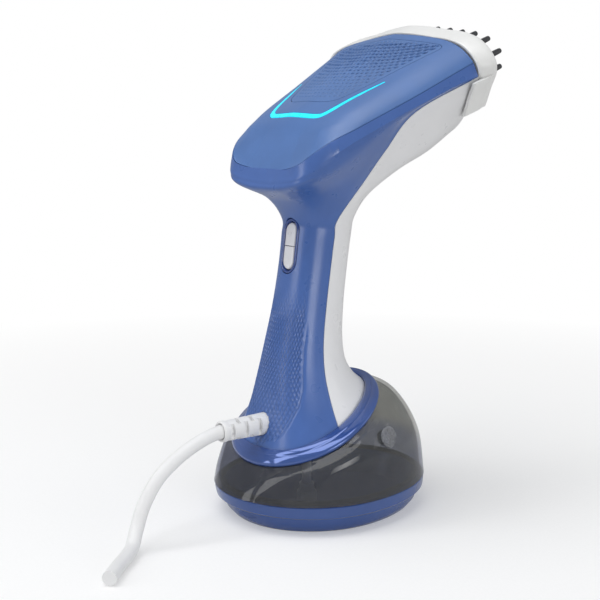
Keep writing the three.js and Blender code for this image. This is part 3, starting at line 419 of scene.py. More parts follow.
def shade_like(mesh, source, angle):
    """Gives the faces of a trimmed mesh the smooth shading of the surface they were trimmed from."""
    tree = BVHTree.FromPolygons([v.co for v in source.vertices], [p.vertices[:] for p in source.polygons])
    corner = [Vector(c.vector) for c in source.corner_normals]
    spots = [v.co.copy() for v in source.vertices]
    near_face = {}
    for face in mesh.polygons:
        _, normal, _, away = tree.find_nearest(face.center)
        if away is None:
            continue
        tiny = away < ON_SKIN_TINY[0] and face.area < ON_SKIN_TINY[1]
        if tiny or (away < ON_SKIN and normal.dot(face.normal) > 0.6):
            near_face[face.index] = normal
    with edited(mesh) as bm:
        for edge in bm.edges:
            pair = [near_face.get(f.index) for f in edge.link_faces]
            if len(pair) == 2 and None not in pair:
                edge.smooth = pair[0].angle(pair[1], 0.0) < math.radians(angle)
    normals = [(0.0, 0.0, 0.0)] * len(mesh.loops)
    for index in near_face:
        face = mesh.polygons[index]
        for loop in face.loop_indices:
            spot = mesh.vertices[mesh.loops[loop].vertex_index].co.lerp(face.center, 0.03)
            near, _, source_index, _ = tree.find_nearest(spot)
            polygon = source.polygons[source_index]
            weights = poly_3d_calc([spots[v] for v in polygon.vertices], near)
            total = Vector((0, 0, 0))
            for weight, k in zip(weights, polygon.loop_indices):
                total += max(weight, 0.0) * corner[k]
            steady = total.length > 0.1 and total.normalized().dot(polygon.normal) > 0.3
            normals[loop] = tuple(total.normalized() if steady else near_face[index])
    mesh.normals_split_custom_set(normals)


def show(name, mesh, material, body, replaced=None, angle=SMOOTH_ANGLE, ride=True, like=None):
    """Puts a mesh in the scene as a finished piece on its body."""
    sharpen(mesh, angle)
    if like is not None:
        shade_like(mesh, like, angle)
    mesh.materials.clear()
    mesh.materials.append(material)
    mesh.name = name
    piece = put(name, mesh)
    if ride:
        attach(piece, body)
    if replaced:
        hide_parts(replaced)
    return piece


# ---- materials
def srgb(r, g, b):
    def linear(c):
        c /= 255
        return c / 12.92 if c <= 0.04045 else ((c + 0.055) / 1.055) ** 2.4

    return (linear(r), linear(g), linear(b), 1)


class Nodes:
    """Builds the node tree of a material or a world a few nodes at a time."""

    def __init__(self, owner, output="ShaderNodeOutputMaterial"):
        self.owner = owner
        owner.use_nodes = True
        self.tree = owner.node_tree
        self.tree.nodes.clear()
        self.out = self.add(output)
        self.place = self.add("ShaderNodeTexCoord").outputs["Object"]

    def feed(self, node, values):
        """Links or sets inputs of a node, by their name or number."""
        for key, value in values.items():
            if isinstance(value, bpy.types.NodeSocket):
                self.tree.links.new(value, node.inputs[key])
            else:
                node.inputs[key].default_value = value
        return node

    def add(self, kind, **settings):
        """A node with some inputs and properties; an underscore is a space in an input's name."""
        node = self.tree.nodes.new(kind)
        for key, value in settings.items():
            name = key.replace("_", " ")
            if name in node.inputs:
                self.feed(node, {name: value})
            else:
                setattr(node, key, value)
        return node

    def noise(self, scale, detail=3.0, rough=0.55, vector=None):
        at = vector or self.place
        node = self.add("ShaderNodeTexNoise", Vector=at, Scale=scale, Detail=detail, Roughness=rough)
        return node.outputs["Fac"]

    def stretched(self, scale):
        return self.add("ShaderNodeMapping", Vector=self.place, Scale=scale).outputs["Vector"]

    def ranged(self, value, low, high, from_low=0.3, from_high=0.7):
        limits = {"From Min": from_low, "From Max": from_high, "To Min": low, "To Max": high}
        return self.add("ShaderNodeMapRange", Value=value, **limits).outputs["Result"]

    def mixed(self, factor, a, b):
        return self.feed(self.add("ShaderNodeMix", data_type="RGBA"), {0: factor, 6: a, 7: b}).outputs[2]

    def either(self, factor, a, b):
        """A shader between two others."""
        return self.feed(self.add("ShaderNodeMixShader"), {0: factor, 1: a, 2: b}).outputs[0]

    def worked_out(self, operation, a, b):
        return self.feed(self.add("ShaderNodeMath", operation=operation), {0: a, 1: b}).outputs[0]

    def bump(self, height, strength, distance, **under):
        node = self.add("ShaderNodeBump", Height=height, Strength=strength, Distance=distance, **under)
        return node.outputs["Normal"]

    def surface(self, shader):
        """Ends the tree with a shader, and gives the material or world back."""
        self.feed(self.out, {"Surface": shader})
        return self.owner

    def principled(self, color, roughness, normal, **settings):
        main = {"Base Color": color, "Roughness": roughness, "Normal": normal}
        return self.surface(self.add("ShaderNodeBsdfPrincipled", **main, **settings).outputs["BSDF"])


def new_material(name):
    return Nodes(bpy.data.materials.new(name))


# Painted shade of hollows fades in across this range of pointiness.
HOLLOW_SHADE_RANGE = (0.44, 0.495)  # a flat place has a pointiness of a half, a hollow has less
LOW_TINT = (0.030, 0.037)  # the tank's darker tint fades out between these heights


def shade(color, factor):
    return tuple(min(1.0, c * factor) for c in color[:3]) + (1,)


def plastic(name, color, rough=0.35, grain=0.25, coat=0.0, spread=0.06, grain_scale=2600, metal=0.0,
            coat_rough=0.25, hollow_shade=0.0):
    """Moulded plastic or rubber: fine grain, a slow change of colour and patches of wear in its sheen.

    The last argument is how much darker narrow hollows get: painted shade, where less light would reach.
    """
    n = new_material(name)
    broad, worn, fine = n.noise(38, 4), n.noise(120, 2, 0.5), n.noise(grain_scale, 2)
    tone = n.mixed(n.ranged(broad, 0, 1), shade(color, 1 - spread), shade(color, 1 + spread))
    tone = n.mixed(n.ranged(worn, 0, 0.35, 0.52, 0.8), tone, shade(color, 1 + 2 * spread))
    # Painted shade: hollows, found by the mesh's pointiness, get a darker copy of the colour.
    if hollow_shade:
        pointed = n.add("ShaderNodeNewGeometry").outputs["Pointiness"]
        tone = n.mixed(n.ranged(pointed, 0, 1, *HOLLOW_SHADE_RANGE), shade(color, 1 - hollow_shade), tone)
    roughness = n.ranged(worn, max(0.02, rough * 0.88), min(1, rough * 1.14))
    normal = n.bump(fine, grain, 0.00004, Normal=n.bump(broad, 0.03, 0.0004))
    return n.principled(tone, roughness, normal, Metallic=metal, Coat_Weight=coat, Coat_Roughness=coat_rough)


def brushed(name, color, rough, stretch):
    """Metal with fine lines along one direction, and a slight stain."""
    n = new_material(name)
    lines = n.noise(900, 4, 0.6, n.stretched(stretch))
    tone = n.mixed(n.ranged(n.noise(60, 4), 0, 1), shade(color, 0.86), shade(color, 1.06))
    roughness = n.ranged(lines, rough * 0.75, rough * 1.3)
    return n.principled(tone, roughness, n.bump(lines, 0.4, 0.00003), Metallic=1.0)


def smoked(name, clear, tint, rough=0.03, body=0.1, low=None):
    """Tinted clear plastic: light passes straight through a dark tint, with a glossy face over it.

    low is a darker tint for its lowest part.
    """
    n = new_material(name)
    broad, scuff = n.noise(45, 3), n.noise(320, 4, 0.7)
    tone = n.mixed(n.ranged(broad, 0, 1), shade(clear, 0.96), shade(clear, 1.04))
    if low:
        height = n.add("ShaderNodeSeparateXYZ", Vector=n.place).outputs["Z"]
        tone = n.mixed(n.ranged(height, 0, 1, *LOW_TINT), low, tone)
    through = n.add("ShaderNodeBsdfTransparent", Color=tone).outputs[0]
    milky = n.add("ShaderNodeBsdfDiffuse", Color=tint).outputs[0]
    inner = n.either(n.ranged(scuff, body * 0.8, body * 1.3), through, milky)
    normal = n.bump(broad, 0.03, 0.0003)
    roughness = n.ranged(scuff, rough * 0.7, rough * 1.8)
    gloss = n.add("ShaderNodeBsdfGlossy", Roughness=roughness, Normal=normal).outputs[0]
    fresnel = n.add("ShaderNodeFresnel", IOR=1.45, Normal=normal).outputs[0]
    behind = n.add("ShaderNodeNewGeometry").outputs["Backfacing"]
    share = n.worked_out("MULTIPLY", fresnel, n.worked_out("SUBTRACT", 1.0, behind))
    return n.surface(n.either(share, inner, gloss))


def glowing(name, color, strength):
    """A diffuser lit from behind: a little brighter in places, under a thin clear skin."""
    n = new_material(name)
    patches = n.noise(160, 3)
    tone = n.mixed(n.ranged(patches, 0, 1), shade(color, 0.82), color)
    light = {"Emission Color": tone, "Emission Strength": n.ranged(patches, strength * 0.9, strength * 1.1)}
    return n.principled(tone, n.ranged(patches, 0.2, 0.4), n.bump(n.noise(1800, 2), 0.2, 0.00003), **light)


def wound(name, color):
    """Lacquered wire in close turns."""
    n = new_material(name)
    wave = n.add("ShaderNodeTexWave", bands_direction="Z", Vector=n.place, Scale=420, Distortion=0.6)
    turns = wave.outputs["Fac"]
    tone = n.mixed(turns, shade(color, 0.45), shade(color, 1.15))
    return n.principled(tone, n.ranged(n.noise(200), 0.25, 0.45), n.bump(turns, 0.7, 0.0003), Metallic=0.5)


def printed(name, color, copper):
    """Solder mask over thin copper tracks."""
    n = new_material(name)
    tones = {"Color1": shade(color, 0.9), "Color2": color, "Mortar": copper}
    brick = n.add("ShaderNodeTexBrick", Vector=n.place, Scale=260, Mortar_Size=0.03, **tones)
    roughness = n.ranged(n.noise(150), 0.3, 0.5)
    return n.principled(brick.outputs["Color"], roughness, n.bump(brick.outputs["Fac"], 0.4, 0.0001))


# The rear housing and the scooped panel get painted shade in their hollows: the grooves between diamonds and
# the scoops.
BLUE = plastic("blue_shell", srgb(68, 101, 166), 0.3, 0.22, coat=0.12, hollow_shade=0.4)
COVER_BLUE = plastic("cover_blue", srgb(76, 112, 170), 0.36, 0.25, coat=0.05)
PANEL_BLUE = plastic("panel_blue", srgb(79, 114, 170), 0.42, 0.3, hollow_shade=0.45)
COLLAR_BLUE = plastic("collar_blue", srgb(58, 88, 156), 0.1, 0.06, coat=0.8, metal=0.35, coat_rough=0.05)
BASE_BLUE = plastic("base_blue", srgb(50, 78, 138), 0.2, 0.12, coat=0.3)
BEZEL_BLUE = plastic("bezel_blue", srgb(48, 72, 134), 0.22, 0.12, coat=0.4)
KEY_WHITE = plastic("key_white", srgb(222, 222, 226), 0.35, 0.25, spread=0.02)
WHITE = plastic("white_shell", srgb(232, 232, 233), 0.3, 0.18, coat=0.15, spread=0.02)
BRUSH_WHITE = plastic("brush_white", srgb(236, 236, 234), 0.32, 0.18, coat=0.1, spread=0.02)
SOFT_WHITE = plastic("soft_white", srgb(232, 232, 232), 0.48, 0.35, spread=0.02, grain_scale=1800)
BRISTLE = plastic("bristle", srgb(52, 53, 56), 0.42, 0.3, spread=0.1)
INNER = plastic("inner_plastic", srgb(214, 214, 211), 0.45, 0.3, spread=0.03)
TUBE = plastic("tube", srgb(214, 218, 222), 0.3, 0.15, spread=0.03)
RUBBER = plastic("rubber", srgb(38, 38, 42), 0.65, 0.4, spread=0.1)
SILICONE = plastic("silicone", srgb(178, 66, 48), 0.6, 0.3)
SWITCH = plastic("switch", srgb(34, 34, 36), 0.5, 0.3)
CERAMIC = plastic("ceramic", srgb(214, 202, 160), 0.25, 0.12)
PLATE = brushed("plate", srgb(206, 208, 212), 0.26, (1, 8, 1))
CAST = plastic("cast", srgb(176, 178, 182), 0.5, 0.8, metal=0.9, grain_scale=900)
STEEL = brushed("steel", srgb(196, 198, 202), 0.28, (1, 1, 6))
COPPER = wound("copper", srgb(186, 112, 58))
BOARD = printed("board", srgb(30, 96, 62), srgb(150, 170, 90))
SMOKE = smoked("smoke", srgb(228, 228, 225), srgb(112, 113, 114), body=0.2, low=srgb(196, 199, 212))
SMOKE_PLUG = smoked("smoke_plug", srgb(206, 207, 211), srgb(150, 152, 156), rough=0.12, body=0.4)
GLOW = glowing("glow", srgb(20, 206, 230), 0.75)


# ---- housing surface
def handle_half(section, grow=0.0, lift=0.0):
    """Half of a handle section, grown outwards and lifted."""
    rear_x, rear_z, front_x, front_z, half = section
    rear, front = rear_x - grow, front_x + grow
    fall = front_z - rear_z
    return [(rear + d * (front - rear), a * (half + grow), rear_z + lift + d * fall) for d, a in SECTION_KEYS]


def body_keys():
    """All sections of the skin, from the foot to the rim, as closed loops of keys."""
    rim = [*RIM_SIDE, *[tuple(on_nose(down, across)) for down, across in RIM_FRONT]]
    halves = [*[handle_half(section) for section in HANDLE], NECK, LIP, SIDE, rim]
    return np.array([mirrored(half) for half in halves], float)


BODY_KEYS = body_keys()
ROWS = len(BODY_KEYS) - 1
KEYS_ROUND = BODY_KEYS.shape[1]
EDGE_KEYS = np.array([*EDGE, tuple(on_nose(*EDGE_FRONT))], float)
RIDGE_KEYS = np.array([(x, 0, z) for x, z in RIDGE], float)
TOP_ROWS = float(len(EDGE))


def body_grid(rows, columns):
    """Points of the skin below the rim, at rows up from the foot and columns round from the rear."""
    return np.swapaxes(around(np.swapaxes(along(BODY_KEYS, rows), 0, 1), columns), 0, 1)


def crown_fall(t):
    """How far the top has fallen from its middle line towards its edge, at a share of the way across."""
    return 0.42 * t**1.3 + 0.58 * t**8


def top_grid(rows, across):
    """Points of the top face, at rows from the rear and shares of the half-width across."""
    edge, ridge = along(EDGE_KEYS, rows), along(RIDGE_KEYS, rows)
    fall = crown_fall(np.abs(across))[None, :]
    grid = np.zeros((len(rows), len(across), 3))
    for k in (0, 2):
        grid[:, :, k] = ridge[:, None, k] + fall * (edge[:, None, k] - ridge[:, None, k])
    grid[:, :, 1] = across[None, :] * edge[:, None, 1]
    return grid


def zipped(first, first_t, second, second_t):
    """Triangles between two lines of points that run side by side."""
    faces, i, j = [], 0, 0
    while i + 1 < len(first) or j + 1 < len(second):
        if j + 1 >= len(second) or (i + 1 < len(first) and first_t[i + 1] <= second_t[j + 1]):
            faces.append([first[i], first[i + 1], second[j]])
            i += 1
        else:
            faces.append([first[i], second[j + 1], second[j]])
            j += 1
    return faces


def vertex_normals(points, faces):
    """Normals of the points, summed from their faces by area."""
    total = np.zeros_like(points)
    for size in (3, 4):
        some = np.array([f for f in faces if len(f) == size], int)
        if not len(some):
            continue
        p = points[some]
        if size == 3:
            normal = np.cross(p[:, 1] - p[:, 0], p[:, 2] - p[:, 0])
        else:
            normal = np.cross(p[:, 2] - p[:, 0], p[:, 3] - p[:, 1])
        for k in range(size):
            np.add.at(total, some[:, k], normal)
    return total


def skin(rows, rear_columns, front_columns, top_rows, across):
    """Points and side faces of the whole housing, with its open foot and mouth as lists of points."""
    columns = np.concatenate([rear_columns, front_columns[1:-1]])
    body = body_grid(rows, columns)
    count = len(columns)
    top = top_grid(top_rows, across)
    points = np.concatenate([body.reshape(-1, 3), top.reshape(-1, 3)])
    faces = [f[::-1] for f in grid_faces(len(rows), count, True)]
    start, wide = len(rows) * count, len(across)
    faces += [f[::-1] for f in grid_faces(len(top_rows), wide, False, start)]
    rim = start - count
    middle = int(np.argmin(np.abs(rear_columns)))
    last = len(rear_columns) - 1
    left = [rim + k for k in range(middle, last + 1)]
    right = [rim + k for k in range(middle, -1, -1)]
    top_left = [start + i * wide + wide - 1 for i in range(len(top_rows))]
    top_right = [start + i * wide for i in range(len(top_rows))]
    faces += [f[::-1] for f in zipped(left, rear_columns[middle:], top_left, top_rows)]
    faces += zipped(right, -rear_columns[middle::-1], top_right, top_rows)
    mouth = [rim + k for k in range(last, count)] + [rim]
    mouth += [start + (len(top_rows) - 1) * wide + k for k in range(wide)]
    return {
        "points": points, "faces": faces, "foot": list(range(count)), "mouth": mouth,
        "shape": (len(rows), count), "start": start, "columns": columns, "rows": rows,
    }


HEAD_MIDDLE, HEAD_HIGH = np.array([-8.0, 0.0, 190.0]), 225


def outward(s):
    """Unit normals of a skin, pointing out, the same for points that fall together."""
    normals = vertex_normals(s["points"], s["faces"])
    _, index = np.unique(np.round(s["points"] * 500).astype(np.int64), axis=0, return_inverse=True)
    index = index.ravel()
    total = np.zeros((index.max() + 1, 3))
    np.add.at(total, index, normals)
    normals = total[index]
    normals /= np.maximum(np.linalg.norm(normals, axis=1, keepdims=True), 1e-12)
    high = s["points"][:, 2] > HEAD_HIGH
    if (normals[high] * (s["points"] - HEAD_MIDDLE)[high]).sum() < 0:
        normals = -normals
    return normals


def capped(s, points):
    """The skin with a fan over its foot and over its mouth."""
    n = len(points)
    centres = [points[s[end]].mean(0)[None] for end in ("foot", "mouth")]
    faces = list(s["faces"])
    for loop, centre in ((s["foot"], n), (s["mouth"], n + 1)):
        for k, v in enumerate(loop):
            faces.append([centre, v, loop[(k + 1) % len(loop)]])
    return mesh_from(np.concatenate([points, *centres]), faces)


# Diamonds on the handle's rear: how many there are from key to key round a section and from
# section to section, how deep the grooves between them are, and the half-width of the patch at
# heights above the ground.
DIAMONDS = (3, 4)
GROOVE = 0.5
GRIP_EDGE_Z = [41.0, 42.5, 45.0, 49.0, 53.4, 61.9, 70.7, 80.6, 90.6, 125.0]
GRIP_EDGE_Y = [0.0, 5.7, 13.3, 16.8, 18.7, 20.6, 20.1, 18.0, 16.5, 13.6]
GRIP_TOP = (126.0, 100.0)  # the diamonds fade in between these heights
BORDER = (0.5, 0.45)  # depth and half-width of the line round the patch


def grip_relief(s):
    """How far the handle's skin is sunk by the grooves between diamonds and by the line round them."""
    rows, count = s["shape"]
    grid = s["points"][: rows * count].reshape(rows, count, 3)
    p, q = s["columns"][None, :] * DIAMONDS[0], s["rows"][:, None] * DIAMONDS[1]
    a, b = p + q, p - q
    away = np.maximum(np.abs(a - np.round(a)), np.abs(b - np.round(b)))
    sunk = smoothstep(0.2, 0.5, away)
    z, y = grid[:, :, 2], np.abs(grid[:, :, 1])
    beyond = y - np.interp(z, GRIP_EDGE_Z, GRIP_EDGE_Y, left=0)
    rear = np.abs(s["columns"])[None, :] < SPLIT_KEY - 0.3
    rear = rear & (z < 130) & (s["rows"][:, None] < 6)
    grooves = -GROOVE * sunk * smoothstep(0.0, -1.2, beyond) * smoothstep(*GRIP_TOP, z)
    line = -BORDER[0] * np.exp(-((beyond / BORDER[1]) ** 2)) * smoothstep(108, 92, z) * (z > 41)
    return np.where(rear, grooves + line, 0).ravel()


SCOOP = (3.2, 3.3)  # pitch of the panel's scoops across, and from front to back
SCOOP_BACK = [5, 9.5, 15, 30, 45, 61, 66]  # behind the crown
SCOOP_HALF = [38, 41, 39, 32.8, 26.8, 19.5, 14]  # half-width of the scooped patch there


def panel_relief(s):
    """How far the panel's skin is sunk by rows of scoops, which are deeper and wider at the front."""
    points = s["points"][s["start"] :]
    local = (points - SLOPE[:3, 3]) @ SLOPE[:3, :3]
    across, back = local[:, 0], local[:, 1]
    arc = back + 0.006 * across**2
    row = np.floor(arc / SCOOP[1])
    u = arc / SCOOP[1] - row
    v = across / SCOOP[0] + 0.5 * (row % 2)
    v = np.abs(v - np.round(v))
    growth = smoothstep(66, 8, back)
    reach = 0.3 + 0.16 * growth
    tall = 0.5 + 0.3 * growth
    mask = smoothstep(reach, reach * 0.6, v) * smoothstep(0.02, 0.14, u) * smoothstep(tall, tall * 0.3, u)
    inside = smoothstep(67.5, 64, back + 0.01 * across**2) * smoothstep(6.5, 9, back)
    inside = inside * smoothstep(0.0, -1.5, np.abs(across) - np.interp(back, SCOOP_BACK, SCOOP_HALF))
    return -(0.3 + 0.9 * growth) * mask * inside


# The light bar and the panel in the cover: behind the crown, across.
LIGHT_LINE = [(79.8, 0), (79.8, 17.5), (78, 21.8), (73, 24.6), (60, 28.6), (44.9, 34.5)]
LIGHT_WIDTH = [3.2, 3.2, 3.2, 3, 2.3, 0.9]
PANEL_EDGE = [
    (68.4, 0), (68.2, 12.5), (66, 18.5), (61, 22.6), (45, 29.4), (30, 35), (15, 41), (9.5, 43),
    (7.5, 40), (5, 0),
]
# A fold of the cover runs from each bend of the light bar down to the rear edge.
FOLD = np.array([(-20.9, 27.5, 207.7), (-38.0, 32.5, 186.8)])
FOLD_HEIGHT, FOLD_HALF = 1.15, 15.0


def fold_relief(s):
    """How far the cover's skin is raised by its two folds."""
    points = s["points"][s["start"] :]
    relief = np.zeros(len(points))
    for side in (1, -1):
        a, b = FOLD * [1, side, 1]
        d = (b - a) / np.linalg.norm(b - a)
        rel = points - a
        t = rel @ d
        away = np.linalg.norm(rel - t[:, None] * d, axis=1)
        relief += FOLD_HEIGHT * np.clip(1 - away / FOLD_HALF, 0, 1) * smoothstep(1, 9, t)
    return relief


def make_housing():
    """The housing as a solid, and the hollow and the room inside it.

    The hollow leaves the wall, and the room leaves a gap more than that. The rows are closest where
    the diamonds are, and the top is finest where the scoops are.
    """
    rows = np.concatenate([np.arange(0, 4.6, 1 / 24), np.linspace(4.6, 7, 20), np.linspace(7, ROWS, 49)])
    rows = np.unique(np.round(rows, 6))
    rear = np.linspace(-SPLIT_KEY, SPLIT_KEY, 12 * 18 + 1)
    front = np.linspace(SPLIT_KEY, KEYS_ROUND - SPLIT_KEY, 8 * 7 + 1)
    top_rows = np.concatenate([np.linspace(0, 4, 41)[:-1], np.linspace(4, TOP_ROWS, 211)])
    across = np.linspace(-1, 1, 281)
    fine = skin(rows, rear, front, top_rows, across)
    normals = outward(fine)
    relief = np.concatenate([grip_relief(fine), panel_relief(fine) + fold_relief(fine)])
    moved = fine["points"] + normals * relief[:, None]
    bow = NOSE_BOW * (moved[:, 1] / NOSE_HALF) ** 2
    ahead = (moved - np.array([CROWN[0], 0, CROWN[1]])) @ FORWARD + bow
    moved -= np.maximum(ahead, 0)[:, None] * FORWARD
    outer = capped(fine, moved)

    coarse = skin(
        np.linspace(0, ROWS, 6 * ROWS + 1), np.linspace(-SPLIT_KEY, SPLIT_KEY, 49),
        np.linspace(SPLIT_KEY, KEYS_ROUND - SPLIT_KEY, 25), np.linspace(0, TOP_ROWS, 37),
        np.linspace(-1, 1, 31),
    )
    normals = outward(coarse)
    foot = coarse["points"][coarse["foot"]]
    downwards = np.cross(foot[24] - foot.mean(0), [0, 1, 0])  # point 24 is the rearmost
    downwards /= np.linalg.norm(downwards)
    downwards = -downwards if downwards[2] > 0 else downwards
    insides = []
    for depth in (WALL, WALL + GAP):
        inner = coarse["points"] - depth * normals
        inner[coarse["foot"]] += WALL * downwards
        inner[coarse["mouth"]] += WALL * FORWARD
        insides.append(capped(coarse, inner))
    return outer, *insides


def bowed_layer(low, high):
    """A layer over the whole nose, between two heights above it."""
    x = np.linspace(-70, 70, 41)
    bow = -NOSE_BOW * (x / NOSE_HALF) ** 2
    outline = np.concatenate([np.stack([x, high + bow], 1), np.stack([x, low + bow], 1)[::-1]])
    turned_frame = NOSE @ frame_at((0, 20, 0), (1, 0, 0), (0, 0, 1), (0, -1, 0))
    return extruded(turned_frame, outline, 0, 100)


def cover_block(grow):
    """All that lies inside the cover's edge, seen along the way the cover lifts off."""
    c, s = math.cos(COVER_VIEW), math.sin(COVER_VIEW)
    line = along(EDGE_KEYS, np.linspace(0, TOP_ROWS, 61))
    seen = np.stack([line[:, 0] * c + line[:, 2] * s, line[:, 1]], 1)
    seen = np.concatenate([seen, [[seen[-1, 0] + 30, seen[-1, 1]]]])
    half = beside(seen, grow)[1:]
    outline = np.concatenate([half[::-1] * [1, -1], half])
    return extruded(frame_at((0, 0, 0), (c, 0, s), (0, 1, 0), (-s, 0, c)), outline, -90, 270)


def above_top(depth):
    """All that lies above the cover's edge, or above a line this deep below it."""
    line = beside(along(EDGE_KEYS, np.linspace(0, TOP_ROWS, 61))[:, [0, 2]], -depth)
    (x, z), low = line[-1], line[0, 1] - 1
    return prism([(-90, low), (line[0, 0], low), *line, (x + 40, z + 40), (x + 40, 300), (-90, 300)])


def slope_prism(outline):
    """A prism through the cover, over an outline of (behind the crown, across) pairs."""
    return extruded(SLOPE, np.asarray(outline)[:, ::-1], -40, 15)


def across_mirrored(half):
    """An open line from its half on the left, which starts on the middle."""
    half = np.asarray(half, float)
    return np.concatenate([half[1:][::-1] * [1, -1], half])


def cornered(line):
    """An open line with its corners cut off twice over, which keeps its two ends."""
    points = np.asarray(line, float)
    for _ in range(2):
        a, b = points[:-1], points[1:]
        inner = np.stack([0.75 * a + 0.25 * b, 0.25 * a + 0.75 * b], 1).reshape(-1, 2)
        points = np.concatenate([points[:1], inner[1:-1], points[-1:]])
    return points


def light_prism(grow):
    """The room of the light bar through the cover, grown on all sides."""
    half = cornered(LIGHT_LINE)
    line = across_mirrored(half)
    widths = np.interp(half[:, 1], [across for _, across in LIGHT_LINE], LIGHT_WIDTH)
    widths = np.concatenate([widths[1:][::-1], widths])
    left, right = [
        np.array([beside(line, k * (w / 2 + grow))[i] for i, w in enumerate(widths)]) for k in (1, -1)
    ]
    return slope_prism(np.concatenate([left, right[::-1]]))


def panel_prism(grow):
    """The room of the panel through the cover, grown on all sides."""
    line = beside(across_mirrored(cornered(PANEL_EDGE[:-1])), -grow)
    return slope_prism(np.concatenate([line, [[PANEL_EDGE[-1][0] - grow, 0]]]))


outer, hollow, room = make_housing()
shell = cut(outer, hollow, bowed_layer(0, 20))
# The rear and front blocks meet along the seam, which runs on upwards past the rim.
seam = body_grid(np.linspace(0, ROWS, 89), np.array([float(SPLIT_KEY)]))[:, 0][:, [0, 2]]
last, end = seam[-2], seam[-1]
onward = end + 12 * np.array([1, (end[1] - last[1]) / (end[0] - last[0])])
seam = np.concatenate([[(seam[0, 0], 10)], seam, [onward]])
rear_block = prism([(-90, 10), *beside(seam, GAP / 2), (onward[0], 300), (-90, 300)])
front_block = prism([*beside(seam, -GAP / 2), (110, onward[1]), (110, 10)])
cover_hole = trim(cover_block(GAP / 2), join(above_top(COVER_REBATE), above_top(COVER_REBATE + GAP)))
cover = main_part(trim(shell, cover_block(-GAP / 2), above_top(COVER_REBATE)))
rear_shell = main_part(cut(trim(shell, rear_block), cover_hole))
front_shell = main_part(trim(shell, front_block))
key_window, cord_hole = extruded(GRIP, capsule(13.1, 29.2), -7, 6), post(CORD, 0, 0, 6.1, -7, 8)
rear_shell = cut(rear_shell, key_window, cord_hole)

sharpen(outer, SMOOTH_ANGLE)
show("rear_housing", rear_shell, BLUE, "steamer", "rear_shell", like=outer)
show("front_housing", front_shell, WHITE, "steamer", "front_shell", like=outer)
main_cover = main_part(cut(cover, light_prism(GAP / 2), panel_prism(GAP / 2)))
show("head_cover", main_cover, COVER_BLUE, "steamer", "top_cover", like=outer)
panel = trim(cover, panel_prism(-GAP / 2))
show("scooped_panel", panel, PANEL_BLUE, "steamer", "texture_panel", like=outer)
light_bar = trim(cover, light_prism(-GAP / 2))
show("light_bar", light_bar, GLOW, "steamer", "light_guide", like=outer)

# ---- keys and their bezel
# Chains of (inset, height) round a key and round the bezel.
KEY_RIM = [(0, -7.5), (0, -0.7), (0.12, -0.35), (0.4, -0.05), (0.9, 0.12), (1.8, 0.24), (3.2, 0.3)]
BEZEL_RIM = [
    (0, -5), (0, -0.3), (0.15, 0.1), (0.45, 0.3), (0.8, 0.3), (1.15, 0.12), (1.5, -0.5), (1.65, -1.2),
    (1.65, -5),
]
KEY_MIDDLE = 6.2  # from between the keys to the middle of each
KEY_APART = 0.4


def capsule_loops(width, height, chain):
    return stacked(GRIP, [(capsule(width - 2 * inset, height - 2 * inset), h) for inset, h in chain])


both_keys = join(loft(capsule_loops(8.6, 24.1, KEY_RIM)), extruded(GRIP, capsule(11, 26.5), -7.5, -6))
ring_mark = cut(post(GRIP, 0, -KEY_MIDDLE, 1.5, 0.17, 0.6, 32), post(GRIP, 0, -KEY_MIDDLE, 1.05, 0, 1, 32))
bar_mark = block(GRIP, 0, KEY_MIDDLE, 0.42, 2.6, 0.5, 0.5)
for side, name, mark in ((-1, "upper", ring_mark), (1, "lower", bar_mark)):
    half = block(GRIP, 0, side * (10 + KEY_APART / 2), -4, 20, 20, 20)
    key = main_part(cut(trim(both_keys, half), mark))
    show(name + "_button_cap", key, KEY_WHITE, name + "_key", name + "_button")
bezel = ring(capsule_loops(12.5, 28.6, BEZEL_RIM))
show("key_bezel", bezel, BEZEL_BLUE, "steamer", "button_bezel")

# ---- steam outlet
# Half of the outlet's outline: down from the crown, across.
OUTLET = [
    (-0.7, 0), (0.4, 14), (2.5, 28), (4.3, 42), (8.1, 53), (15.7, 60), (23, 59.6), (31.8, 52),
    (42.5, 43), (50.8, 33.5), (57, 20.7), (61, 0),
]
OUTLET_MIDDLE, OUTLET_LOW = 28.0, OUTLET[-1][0]
FRAME_SECTION = [(-2.4, -8.5), (-2.4, 1.75), (-8.0, 1.75), (-8.0, -8.5)]
HOLE_ROWS = [(14, 5, 16), (24, 6, 15), (34, 4, 16), (43, 2, 16)]  # down, how many, pitch
HOLE_FLARE = [(1.4, -3.9), (2.6, -2.7)]


def outlet_points(grow, steps):
    """The outlet's outline grown outwards, as (down, across) pairs."""
    pivot = 0.0 if grow >= 0 else OUTLET_MIDDLE
    tall, wide = OUTLET_LOW - pivot, 1 + grow / NOSE_HALF
    half = [(down + (down - pivot) * grow / tall, across * wide, 0) for down, across in OUTLET]
    keys = np.concatenate([half, np.array(half[1:-1])[::-1] * [1, -1, 1]])
    return around(keys, np.arange(len(keys) * steps) / steps)[:, :2]


def outlet_ring(section):
    """A ring round the outlet, from a section of (growth, height ahead) pairs."""
    loops = []
    for grow, ahead in section:
        line = outlet_points(grow, 10)
        loops.append(on_nose(line[:, 0], line[:, 1], ahead))
    return ring(loops)


def between(high, low):
    """All that lies between two distances down from the crown."""
    return block(NOSE, 0, 5 - (high + low) / 2, 0, 150, 10 + low - high, 80)


def shield(inset):
    """The outlet's outline drawn in on all sides."""
    line = outlet_points(0.0, 6)
    wide, tall = 1 - inset / NOSE_HALF, 1 - inset / (OUTLET_LOW - OUTLET_MIDDLE)
    return np.stack([line[:, 1] * wide, -(OUTLET_MIDDLE + (line[:, 0] - OUTLET_MIDDLE) * tall)], 1)


def shield_solid(chain):
    return loft(stacked(NOSE, [(shield(inset), h) for inset, h in chain]))


